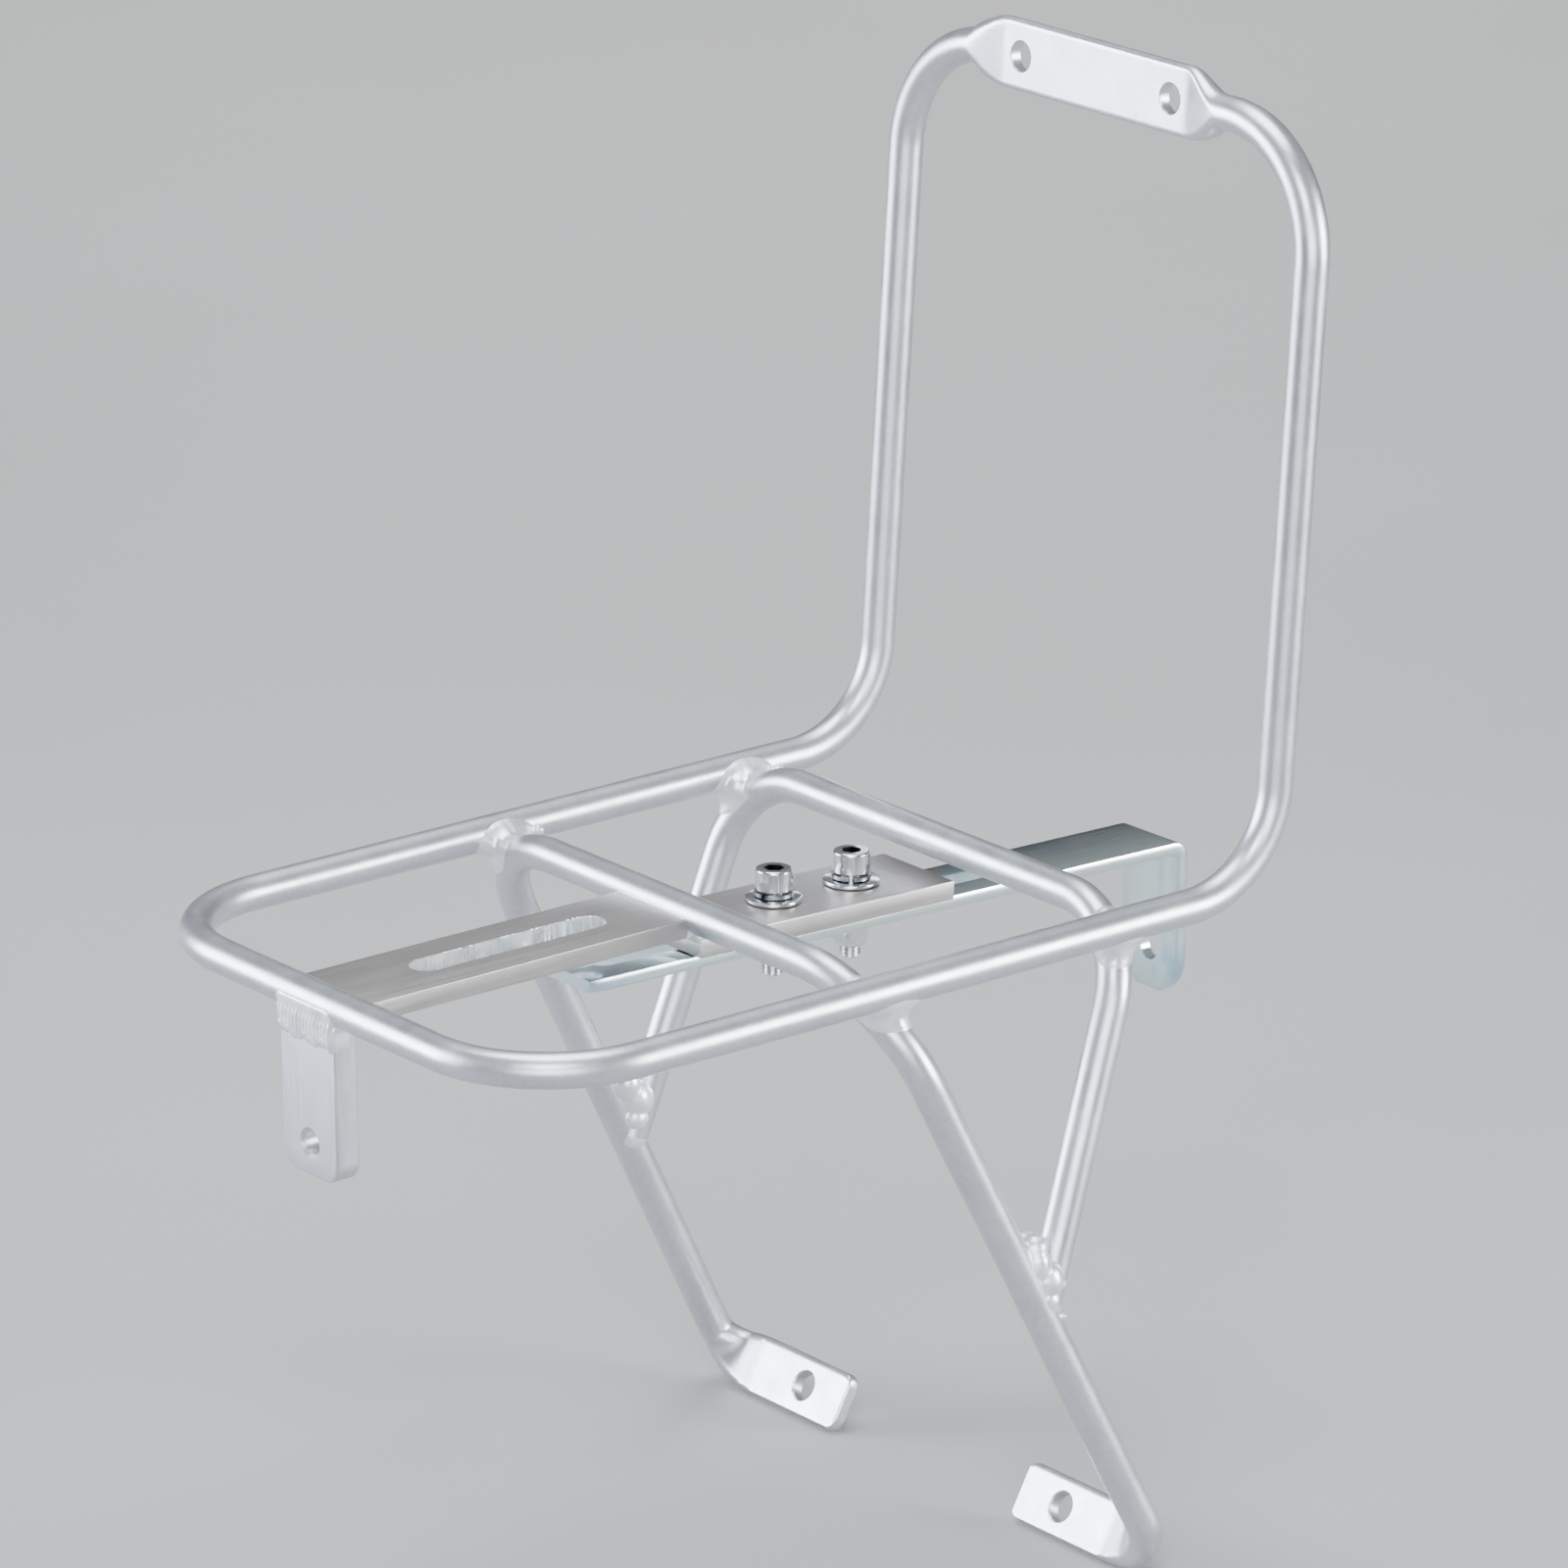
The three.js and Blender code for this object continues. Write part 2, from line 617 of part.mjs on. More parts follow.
const STACK = (() => {
  const topWasher = STACK_GAP;
  const springWasher = topWasher + TOP_WASHER.thick + STACK_GAP;
  const head = springWasher + SPRING_WASHER.thick + STACK_GAP;
  const lowWasher = TONGUE_TOP - TONGUE.thick - STACK_GAP - LOW_WASHER.thick;
  const nut = lowWasher - STACK_GAP - NUT.height;
  return { topWasher, springWasher, head, lowWasher, nut };
})();

const boltPiece = (name, geometry, x, z, material, turn = 0) => {
  const mesh = place(name, geometry, material, clampGroup);
  mesh.position.set(localX(x), 0, z);
  mesh.rotation.z = turn;
};

["front", "rear"].forEach((end, i) => {
  const x = SCREW_X[i];
  const washer = ringGeometry(TOP_WASHER.innerR, TOP_WASHER.outerR, TOP_WASHER.thick);
  const lowWasher = ringGeometry(LOW_WASHER.innerR, LOW_WASHER.outerR, LOW_WASHER.thick);
  boltPiece(`cap_screw_${end}`, screwGeometry(), x, STACK.head, SCREW_STEEL(), 0.35 + 0.5 * i);
  boltPiece(`spring_washer_${end}`, springWasherGeometry(), x, STACK.springWasher, SCREW_STEEL(), 3.6 + 0.9 * i);
  boltPiece(`top_washer_${end}`, toGeometry(solid(washer)), x, STACK.topWasher, SCREW_STEEL());
  boltPiece(`bottom_washer_${end}`, toGeometry(solid(lowWasher)), x, STACK.lowWasher, SCREW_STEEL());
  boltPiece(`lock_nut_${end}`, nutGeometry(), x, STACK.nut, SCREW_STEEL(), 0.2 + 0.4 * i);
});

// ---- welds -------------------------------------------------------------------------------------

const blob = (centre, radii, turnY = 0) => {
  const geometry = new THREE.SphereGeometry(1, 14, 9);
  geometry.scale(radii.x, radii.y, radii.z);
  geometry.rotateY(turnY);
  geometry.translate(centre.x, centre.y, centre.z);
  return solid(geometry);
};

// A bead that runs across the midline, with round ends.
const bead = (x, z, radiusX, radiusZ, length) => {
  const geometry = new THREE.CapsuleGeometry(1, length - 2, 3, 14);
  geometry.scale(radiusX, 1, radiusZ);
  geometry.translate(x, MIDLINE_Y, z);
  return solid(geometry);
};

const fatRod = (path) => solid(rodGeometry(path, ROD_R + FIT_GAP));
const railCutters = [-1, 1].map((side) => rodCutter(v(60, side * RAIL_Y, 0), v(200, side * RAIL_Y, 0)));
const fatLegs = fatRod(legPath);
const fatStruts = fatRod(strutPath);

const sideNames = { "-1": "near", 1: "far" };
for (const side of [-1, 1]) {
  const rail = railCutters[side < 0 ? 0 : 1];
  const sideName = sideNames[side];
  const frontKnot = blob(v(LEG.crossX + 2.5, side * (RAIL_Y - 3.5), -4.8), v(7.2, 6.2, 5.6), 0.4);
  place(`weld_rail_front_${sideName}`, toGeometry(cutBy(frontKnot, [rail, fatLegs])), WELD());
  const rearKnot = blob(v(STRUT.crossX - 1.5, side * (RAIL_Y - 3.5), -4.6), v(7.2, 6.2, 5.6), -0.3);
  place(`weld_rail_rear_${sideName}`, toGeometry(cutBy(rearKnot, [rail, fatStruts])), WELD());
  const jointDown = 83;
  const joint = limbPoint(LEG, side, jointDown).lerp(limbPoint(STRUT, side, jointDown), 0.5);
  const vee = blob(joint, v(6.6, 6.4, 9), 0.1);
  place(`weld_strut_${sideName}`, toGeometry(cutBy(vee, [fatLegs, fatStruts])), WELD());
}

// Cutters that stand clear of the flat pieces by the same gap.
const clearBox = (x0, x1, z0, z1, halfWidth) => {
  const box = new THREE.BoxGeometry(
    x1 - x0 + 2 * FIT_GAP,
    2 * (halfWidth + FIT_GAP),
    z1 - z0 + 2 * FIT_GAP,
  );
  box.translate((x0 + x1) / 2, MIDLINE_Y, (z0 + z1) / 2);
  return solid(box);
};
const tabNeck = LAMP_TAB.thick / 2 - LAMP_TAB.stepDepth;
const tabClear = clearBox(-tabNeck, tabNeck, LAMP_TAB.bottomZ, -1, LAMP_TAB.width / 2);
const frontPlateClear = frontPlateBlock(FIT_GAP);
const clampClear = (() => {
  const box = new THREE.BoxGeometry(
    CLAMP_PLATE.to - CLAMP_PLATE.from + 2 * FIT_GAP,
    PLATE_W + 2 * FIT_GAP,
    PLATE_T + 2 * FIT_GAP,
  );
  box.translate(localX((CLAMP_PLATE.from + CLAMP_PLATE.to) / 2), 0, -PLATE_T / 2);
  box.rotateY(CLAMP_DIP);
  box.translate(CLAMP_PIVOT.x, CLAMP_PIVOT.y, CLAMP_PIVOT.z);
  return solid(box);
})();

const tabFront = bead(-3.1, -4.7, 2.6, 4.4, LAMP_TAB.width + 3);
place("weld_tab_outer", toGeometry(cutBy(tabFront, [OUTER_BAR, tabClear])), WELD());

// One fillet fills the corner between the tab's back and the plate's underside.
const tabInner = bead(4.2, -5.3, 3.2, 3, LAMP_TAB.width - 1);
place("weld_tab_inner", toGeometry(cutBy(tabInner, [OUTER_BAR, frontPlateClear, tabClear])), WELD());
const crossUnder = bead(LEG.crossX - 3.2, -3.5, 2.6, 2.1, PLATE_W - 2);
place("weld_plate_cross", toGeometry(cutBy(crossUnder, [FRONT_CROSS, frontPlateClear, clampClear])), WELD());
const clampFront = bead(LEG.crossX + 3.1, -3.4, 2.8, 2.4, PLATE_W - 3);
place("weld_clamp_front", toGeometry(cutBy(clampFront, [FRONT_CROSS, clampClear])), WELD());
const clampRear = bead(STRUT.crossX - 2.6, -4.4, 3.4, 3.2, PLATE_W - 3);
place("weld_clamp_rear", toGeometry(cutBy(clampRear, [REAR_CROSS, clampClear])), WELD());

export default root;
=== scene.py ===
"""A small welded aluminium bicycle rack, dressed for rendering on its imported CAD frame."""

import math

import bmesh
import bpy
import numpy as np
from mathutils import Matrix, Vector, noise

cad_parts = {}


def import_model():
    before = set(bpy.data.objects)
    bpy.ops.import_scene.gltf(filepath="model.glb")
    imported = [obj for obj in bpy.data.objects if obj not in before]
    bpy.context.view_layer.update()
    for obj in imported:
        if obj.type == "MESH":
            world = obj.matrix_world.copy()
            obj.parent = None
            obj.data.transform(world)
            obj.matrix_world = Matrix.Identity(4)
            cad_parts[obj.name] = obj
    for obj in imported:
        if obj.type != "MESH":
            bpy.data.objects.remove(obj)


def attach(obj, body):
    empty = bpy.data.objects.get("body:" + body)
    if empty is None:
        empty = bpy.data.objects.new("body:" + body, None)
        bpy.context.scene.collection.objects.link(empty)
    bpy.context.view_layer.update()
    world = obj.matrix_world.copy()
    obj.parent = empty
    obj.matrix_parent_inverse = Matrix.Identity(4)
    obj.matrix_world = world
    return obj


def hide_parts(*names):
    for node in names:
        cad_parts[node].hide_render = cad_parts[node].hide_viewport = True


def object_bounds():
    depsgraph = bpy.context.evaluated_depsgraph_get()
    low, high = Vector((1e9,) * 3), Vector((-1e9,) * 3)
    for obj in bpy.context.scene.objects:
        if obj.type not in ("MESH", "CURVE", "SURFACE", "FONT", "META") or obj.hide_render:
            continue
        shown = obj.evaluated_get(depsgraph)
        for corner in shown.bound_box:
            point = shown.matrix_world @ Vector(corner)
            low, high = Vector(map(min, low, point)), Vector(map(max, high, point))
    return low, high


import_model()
cad_low, cad_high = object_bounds()

# ---- dimensions, in millimetres from the middle of the outer bar ----

ROD_R = 4.0
ROD_SIDES = 40
RAIL_Y = 70.0
BAR_CORNER_R = 30.0
HOOP_X = 205.0
HOOP_BEND_R = 25.0
HOOP_LEAN = 0.08
HOOP_HEIGHT = 168.0
HOOP_CORNER_R = 28.0
MIDLINE_Y = 4.0

HOOP_FLAT_THICK = 3.0
HOOP_FLAT_TALL = 16.4
HOOP_FLAT_HALF = 31.0
HOOP_FLAT_TAPER = 11.0
HOOP_HOLE_HALF_SPACING = 25.7
HOOP_HOLE_R = 3.4

CROSS_Z = 0.8
LEG = {"cross_x": 93.9, "slope_x": 0.4897, "top_y": 72.0, "slope_y": 0.0432, "bend_r": 28.0}
STRUT = {"cross_x": 166.7, "slope_x": -0.362, "top_y": 68.3, "slope_y": 0.0667, "bend_r": 22.0}
STRUT_END = 84.5
FOOT_Z = -146.3
FOOT_END_Y = 32.5
FOOT_HOLE_Y = 46.8
FOOT_BEND_R = 9.0
FOOT_THICK = 3.4
FOOT_TALL = 14.0
FOOT_HOLE_R = 3.5
FOOT_CORNER_R = 2.4
FOOT_RIM = 0.5
FOOT_FLAT_TO_Y = 63.5
FOOT_TAPER = 14.0
FOOT_TAPER_UP = 8.0
FOOT_NORMAL = Vector((0.87, 0, -0.493)).normalized()

PLATE_W = 25.0
PLATE_T = 4.5
FRONT_PLATE_TOP = 1.15
FRONT_SLOT = (25.0, 76.5, 8.2)
FRONT_PLATE_FROM = 3.3
PLATE_EDGE = 0.35
TAB = {"width": 20.0, "thick": 6.0, "top": -2.5, "bottom": -39.7, "corner": 4.5}
TAB_HOLE_Z = -32.3
TAB_HOLE_R = 2.7

CLAMP_PIVOT = Vector((135, MIDLINE_Y, -5.65))
CLAMP_DIP = 0.028
CLAMP_PLATE = (94.0, 165.5)
SCREW_X = (124.0, 146.0)
SCREW_CLEARANCE_R = 2.75

TONGUE = {"from": 65.8, "to": 237.3, "width": 19.2, "thick": 3.0, "bend": 4.0, "drop": 38.2}
TONGUE_SLOT = (73.5, 188.5, 6.0)
TONGUE_EYE = (17.0, 30.5, 5.8)
STACK_GAP = 0.25

FOOT_X = LEG["cross_x"] + LEG["slope_x"] * (CROSS_Z - FOOT_Z)
ORIGIN = Vector((FOOT_X, 0, FOOT_Z))
UPRIGHT = Vector((math.sin(HOOP_LEAN), 0, math.cos(HOOP_LEAN)))
HOOP_NORMAL = Vector((math.cos(HOOP_LEAN), 0, -math.sin(HOOP_LEAN)))
HOOP_TOP = Vector((HOOP_X, 0, 0)) + UPRIGHT * HOOP_HEIGHT
CLAMP = Matrix.Translation(CLAMP_PIVOT) @ Matrix.Rotation(CLAMP_DIP, 4, "Y")


def metres(point):
    """A point in millimetres from the outer bar, in the frame's metres."""
    return (Vector(point) - ORIGIN) * 0.001


# ---- materials ----


class Nodes:
    """A material's node tree with short calls for adding and linking nodes."""

    def __init__(self, name, metallic=0.0):
        self.material = bpy.data.materials.new(name)
        self.material.use_nodes = True
        self.tree = self.material.node_tree
        self.tree.nodes.clear()
        self.shader = self.add("ShaderNodeBsdfPrincipled")
        self.shader.inputs["Metallic"].default_value = metallic
        output = self.add("ShaderNodeOutputMaterial")
        self.link(self.shader, "BSDF", output, "Surface")
        self.coords = self.add("ShaderNodeTexCoord")

    def add(self, kind, **settings):
        node = self.tree.nodes.new(kind)
        for key, value in settings.items():
            setattr(node, key, value)
        return node

    def link(self, source, output, target, socket):
        self.tree.links.new(source.outputs[output], target.inputs[socket])

    def noise(self, scale, detail=3.0, roughness=0.5, stretch=(1, 1, 1), coords="Object"):
        mapping = self.add("ShaderNodeMapping")
        mapping.inputs["Scale"].default_value = stretch
        self.link(self.coords, coords, mapping, "Vector")
        texture = self.add("ShaderNodeTexNoise")
        for socket, value in (("Scale", scale), ("Detail", detail), ("Roughness", roughness)):
            texture.inputs[socket].default_value = value
        self.link(mapping, "Vector", texture, "Vector")
        return texture

    def ramp(self, source, stops):
        ramp = self.add("ShaderNodeValToRGB")
        elements = ramp.color_ramp.elements
        while len(elements) < len(stops):
            elements.new(0.5)
        for element, (place, colour) in zip(elements, stops):
            element.position = place
            element.color = (*colour, 1)
        self.link(source, "Fac", ramp, "Fac")
        return ramp

    def grey_ramp(self, source, low, high, start=0.3, end=0.7):
        return self.ramp(source, [(start, (low, low, low)), (end, (high, high, high))])

    def colour(self, source, shade=None, share=0.0):
        """The base colour, with a share of a grey shade multiplied in."""
        if shade is None:
            self.link(source, "Color", self.shader, "Base Color")
            return
        mix = self.add("ShaderNodeMix", data_type="RGBA", blend_type="MULTIPLY")
        mix.inputs["Factor"].default_value = share
        self.link(source, "Color", mix, "A")
        self.link(shade, "Color", mix, "B")
        self.link(mix, "Result", self.shader, "Base Color")

    def roughness(self, source):
        self.link(source, "Color", self.shader, "Roughness")

    def bumps(self, *layers):
        """Each layer is (texture, strength, distance in metres), laid one on the other."""
        previous = None
        for texture, strength, distance in layers:
            bump = self.add("ShaderNodeBump")
            bump.inputs["Strength"].default_value = strength
            bump.inputs["Distance"].default_value = distance
            self.link(texture, "Fac", bump, "Height")
            if previous:
                self.link(previous, "Normal", bump, "Normal")
            previous = bump
        self.link(previous, "Normal", self.shader, "Normal")


def satin_rod():
    """Bead-blasted aluminium rod: pale, slightly blue, with faint drawing lines and handling marks."""
    n = Nodes("satin_rod_aluminium", 0.92)
    colour = n.ramp(n.noise(38, 5, 0.6), [(0.3, (0.56, 0.58, 0.63)), (0.7, (0.66, 0.675, 0.715))])
    n.colour(colour, n.grey_ramp(n.noise(900, 2, 0.5), 0.72, 1.0, 0.3, 0.62), 0.3)
    n.roughness(n.grey_ramp(n.noise(120, 6, 0.65), 0.3, 0.42, 0.3, 0.75))
    grain = n.noise(2600, 2, 0.6)
    lines = n.noise(1, 4, 0.7, (90, 2400, 1), "UV")
    dents = n.noise(160, 2, 0.5)
    n.bumps((dents, 0.25, 0.0002), (lines, 0.12, 0.00004), (grain, 0.3, 0.00005))
    return n.material


def brushed_bar(name, colour_low, colour_high, stretch):
    """Flat aluminium bar with the long fine lines of its rolling."""
    n = Nodes(name, 0.92)
    lines = n.noise(1, 8, 0.75, stretch)
    cloud = n.noise(60, 4, 0.6)
    n.colour(n.ramp(lines, [(0.3, colour_low), (0.7, colour_high)]), n.grey_ramp(cloud, 0.8, 1.0), 0.5)
    n.roughness(n.grey_ramp(lines, 0.3, 0.48, 0.25, 0.75))
    n.bumps((lines, 0.35, 0.00005), (n.noise(1500, 3, 0.6), 0.2, 0.00005))
    return n.material


def zinc():
    """Bright zinc plate on the sliding tongue: cool and glossy, with pale blue and green patches."""
    n = Nodes("bright_zinc", 1.0)
    blue, pale, green, sky = (0.42, 0.64, 0.74), (0.66, 0.79, 0.85), (0.7, 0.8, 0.74), (0.5, 0.7, 0.86)
    n.colour(n.ramp(n.noise(45, 5, 0.6), [(0.3, blue), (0.45, pale), (0.6, green), (0.75, sky)]))
    scratches = n.noise(1, 6, 0.7, (60, 1500, 1500))
    n.roughness(n.grey_ramp(scratches, 0.14, 0.3, 0.3, 0.75))
    n.bumps((n.noise(180, 3, 0.5), 0.25, 0.0001), (scratches, 0.2, 0.00003))
    return n.material


def polished(name, low, high, roughness):
    """Polished fastener steel with turning marks."""
    n = Nodes(name, 1.0)
    smudge = n.noise(300, 4, 0.6)
    n.colour(n.ramp(smudge, [(0.3, low), (0.7, high)]))
    n.roughness(n.grey_ramp(smudge, roughness * 0.7, roughness * 1.5))
    n.bumps((n.noise(1, 3, 0.5, (300, 300, 6000)), 0.15, 0.00003))
    return n.material


def weld_metal():
    """Fresh weld: brighter than the rod, rippled by the geometry, with a little frost."""
    n = Nodes("weld_metal", 0.78)
    cloud = n.noise(260, 5, 0.65)
    dull, plain, bright = (0.7, 0.735, 0.79), (0.86, 0.89, 0.93), (0.93, 0.945, 0.96)
    n.colour(n.ramp(cloud, [(0.28, dull), (0.5, plain), (0.75, bright)]))
    n.roughness(n.grey_ramp(cloud, 0.3, 0.46))
    n.bumps((n.noise(420, 2, 0.5), 0.15, 0.0001), (n.noise(1800, 3, 0.6), 0.2, 0.00004))
    return n.material


def nylon():
    """The nut's locking ring: white plastic."""
    n = Nodes("nylon_ring")
    cloud = n.noise(500, 3, 0.5)
    n.colour(n.ramp(cloud, [(0.3, (0.72, 0.74, 0.74)), (0.7, (0.82, 0.83, 0.82))]))
    n.roughness(n.grey_ramp(cloud, 0.35, 0.5))
    n.bumps((n.noise(1500, 2, 0.5), 0.2, 0.00005))
    return n.material


ROD = satin_rod()
BAR = brushed_bar("rolled_bar_aluminium", (0.42, 0.39, 0.385), (0.55, 0.525, 0.52), (25, 2600, 900))
TAB_METAL = brushed_bar("rolled_tab_aluminium", (0.56, 0.585, 0.635), (0.67, 0.69, 0.73), (900, 1700, 60))
SLOT_METAL = polished("milled_slot_wall", (0.82, 0.84, 0.87), (0.96, 0.97, 0.98), 0.3)
ZINC = zinc()
SCREW = polished("polished_screw_steel", (0.74, 0.76, 0.79), (0.86, 0.88, 0.9), 0.12)
# Painted shade: a near-black colour on the hex socket's walls stands in for the shade inside the recess, not
# a finish of the steel.
SOCKET_PAINTED_SHADE = polished("socket_shadow", (0.02, 0.02, 0.022), (0.05, 0.05, 0.055), 0.4)
SPRING_STEEL = polished("spring_steel", (0.3, 0.31, 0.33), (0.42, 0.43, 0.45), 0.25)
WELD = weld_metal()
NYLON = nylon()


# ---- meshes ----


def placed(name, data):
    """A new object in the scene."""
    thing = bpy.data.objects.new(name, data)
    bpy.context.scene.collection.objects.link(thing)
    return thing


def outward(mesh, weld_below=0.0):
    """Turns every face outward, with doubled vertices welded first."""
    work = bmesh.new()
    work.from_mesh(mesh)
    if weld_below:
        bmesh.ops.remove_doubles(work, verts=work.verts, dist=weld_below)
    bmesh.ops.recalc_face_normals(work, faces=work.faces)
    work.to_mesh(mesh)
    work.free()


def make(name, vertices, faces, material, smooth_below=35, body="rack", replaces=(), uv=None):
    """An object from vertices in millimetres, riding on a CAD body in place of its CAD nodes."""
    mesh = bpy.data.meshes.new(name)
    mesh.from_pydata([metres(v) for v in vertices], [], faces)
    if uv:
        layer = mesh.uv_layers.new(name="along")
        corners = [uv[v] for polygon in mesh.polygons for v in polygon.vertices]
        layer.data.foreach_set("uv", [x for pair in corners for x in pair])
    piece = placed(name, mesh)
    mesh.materials.append(material)
    tidy(piece, smooth_below)
    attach(piece, body)
    if replaces:
        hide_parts(*replaces)
    return piece


def tidy(piece, smooth_below=35):
    """Outward faces, no doubled vertices, smooth except across creases."""
    outward(piece.data, 2e-6)
    piece.data.polygons.foreach_set("use_smooth", [True] * len(piece.data.polygons))
    piece.data.set_sharp_from_angle(angle=math.radians(smooth_below))
    piece.data.update()


def apply_modifiers(piece):
    """The piece's mesh as its modifiers leave it."""
    bpy.context.view_layer.update()
    evaluated = piece.evaluated_get(bpy.context.evaluated_depsgraph_get())
    mesh = bpy.data.meshes.new_from_object(evaluated)
    piece.modifiers.clear()
    old = piece.data
    piece.data = mesh
    bpy.data.meshes.remove(old)


def combine(piece, tools, operation="DIFFERENCE", smooth_below=35):
    """Cuts a piece with throwaway tools, or trims it to them."""
    for tool in tools:
        modifier = piece.modifiers.new("shape", "BOOLEAN")
        modifier.operation = operation
        modifier.solver = "EXACT"
        modifier.material_mode = "TRANSFER"
        modifier.object = tool
    apply_modifiers(piece)
    for tool in tools:
        bpy.data.meshes.remove(tool.data)
    tidy(piece, smooth_below)


def tool_from(vertices, faces, material=None):
    """A throwaway object for combine; its material goes to the faces it cuts."""
    mesh = bpy.data.meshes.new("tool")
    mesh.from_pydata([metres(v) for v in vertices], [], faces)
    outward(mesh)
    if material:
        mesh.materials.append(material)
    return placed("tool", mesh)


def loft(rings, closed=False):
    """Vertices and faces of a skin over rings of equal size, capped unless it closes on itself."""
    count = len(rings[0])
    vertices = [v for ring in rings for v in ring]
    faces = []
    steps = len(rings) if closed else len(rings) - 1
    for i in range(steps):
        low, high = i * count, ((i + 1) % len(rings)) * count
        for j in range(count):
            k = (j + 1) % count
            faces.append((low + j, low + k, high + k, high + j))
    if not closed:
        faces.append(tuple(reversed(range(count))))
        faces.append(tuple(range(len(vertices) - count, len(vertices))))
    return vertices, faces


def polar(radius, angle, z=0.0):
    return Vector((radius * math.cos(angle), radius * math.sin(angle), z))


def turned(profile, place, sides=48, ring=False):
    """(radius, height) pairs turned about the Z axis of the matrix place: a solid between small end
    discs, or a ring whose profile closes on itself."""
    rings = [[place @ polar(r, 2 * math.pi * j / sides, z) for j in range(sides)] for r, z in profile]
    return loft(rings, closed=ring)


def drill(piece, centres, direction, radius, chamfer, faces_at, smooth_below=35):
    """Round holes with a countersink on each face; the faces are faces_at millimetres from a centre."""
    turn = direction.to_track_quat("Z", "Y").to_matrix().to_4x4()
    over, reach = 0.3, 8.0
    wide = radius + chamfer + over
    profile = [
        (wide, -reach), (wide, -faces_at - over), (radius, -faces_at + chamfer),
        (radius, faces_at - chamfer), (wide, faces_at + over), (wide, reach),
    ]
    tools = [tool_from(*turned(profile, Matrix.Translation(centre) @ turn)) for centre in centres]
    combine(piece, tools, smooth_below=smooth_below)


# ---- rods ----


class Route:
    """Stations along a centre line of straight runs and bends. corners holds (corner, bend radius)
    pairs; fine_end is the length at each end with stations every FINE_PITCH."""

    FINE_PITCH = 0.25

    def __init__(self, corners, pitch=2.0, turn=0.07, closed=False, fine_end=0.0):
        self.points, self.tangents, self.runs = [], [], []
        first, last = corners[0][0], corners[-1][0]
        heading = (corners[1][0] - first).normalized()
        here = first
        if fine_end:
            here = first + heading * fine_end
            self.straight(first, here, heading, self.FINE_PITCH)
        for i in range(1, len(corners) - 1):
            corner, radius = corners[i]
            onward = (corners[i + 1][0] - corner).normalized()
            angle = heading.angle(onward)
            setback = radius * math.tan(angle / 2)
            start = corner - heading * setback
            self.straight(here, start, heading, pitch)
            inward = (onward - heading * math.cos(angle)).normalized()
            centre = start + inward * radius
            self.runs.append(("bend", centre, -inward, heading, radius, angle))
            steps = max(4, round(angle / turn))
            for k in range(steps):
                a = angle * k / steps
                self.points.append(centre - inward * radius * math.cos(a) + heading * radius * math.sin(a))
                self.tangents.append(heading * math.cos(a) + inward * math.sin(a))
            here = corner + onward * setback
            heading = onward
        if fine_end:
            coarse_end = last - heading * fine_end
            self.straight(here, coarse_end, heading, pitch)
            here, pitch = coarse_end, self.FINE_PITCH
        self.straight(here, last, heading, pitch)
        if not closed:
            self.points.append(last.copy())
            self.tangents.append(heading.copy())
        self.closed = closed

    def straight(self, start, end, heading, pitch):
        self.runs.append(("line", start, end))
        steps = max(1, round((end - start).length / pitch))
        for k in range(steps):
            self.points.append(start.lerp(end, k / steps))
            self.tangents.append(heading.copy())

    def frames(self):
        """A side vector at each station, carried along without twisting; a loop shares out its twist."""
        side = self.tangents[0].orthogonal().normalized()
        sides = [side]
        for before, after in zip(self.tangents, self.tangents[1:]):
            side = before.rotation_difference(after) @ side
            sides.append((side - after * side.dot(after)).normalized())
        if self.closed:
            back = self.tangents[-1].rotation_difference(self.tangents[0]) @ sides[-1]
            first = sides[0]
            twist = math.atan2(self.tangents[0].dot(back.cross(first)), back.dot(first))
            count = len(sides)
            sides = [
                Matrix.Rotation(twist * i / count, 3, t) @ s
                for i, (t, s) in enumerate(zip(self.tangents, sides))
            ]
        return sides


def rod(name, route, press=None, **options):
    """A round rod along a route. Where a die has flattened it, press(point) gives the flat's normal, half
    its thickness, and how far it stands above and below the centre line."""
    rings, uv = [], []
    run = 0.0
    previous = route.points[0]
    for point, tangent, side in zip(route.points, route.tangents, route.frames()):
        run += (point - previous).length
        previous = point
        other = tangent.cross(side)
        pressed = press(point) if press else None
        ring = []
        for j in range(ROD_SIDES):
            angle = 2 * math.pi * j / ROD_SIDES
            offset = (side * math.cos(angle) + other * math.sin(angle)) * ROD_R
            if pressed:
                normal, half_thick, above, below = pressed
                out = (normal - tangent * normal.dot(tangent)).normalized()
                across = tangent.cross(out)
                if across.z < 0:
                    across = -across
                through = max(-half_thick, min(half_thick, offset.dot(out)))
                share = offset.dot(across) / ROD_R
                offset = out * through + across * share * (above if share > 0 else below)
            ring.append(point + offset)
            uv.append((run * 0.001, angle * ROD_R * 0.001))
        rings.append(ring)
    vertices, faces = loft(rings, route.closed)
    return make(name, vertices, faces, ROD, uv=uv, **options)


def pressed_section(past, normal, thick, tall, upper_ease=0.0):
    """The die's print: flat where past <= 0, then round-shouldered until the rod is whole at past = 1.
    upper_ease turns the upper shoulder from a round one into a long slope."""
    if past >= 1:
        return None
    past = max(0.0, past)
    shoulder = (1 - past**2) ** 0.62
    slope = 0.5 + 0.5 * math.cos(math.pi * past)
    grow = tall / 2 - ROD_R
    above = ROD_R + grow * (shoulder + (slope - shoulder) * upper_ease)
    return normal, thick / 2 + (ROD_R - thick / 2) * past, above, ROD_R + grow * shoulder


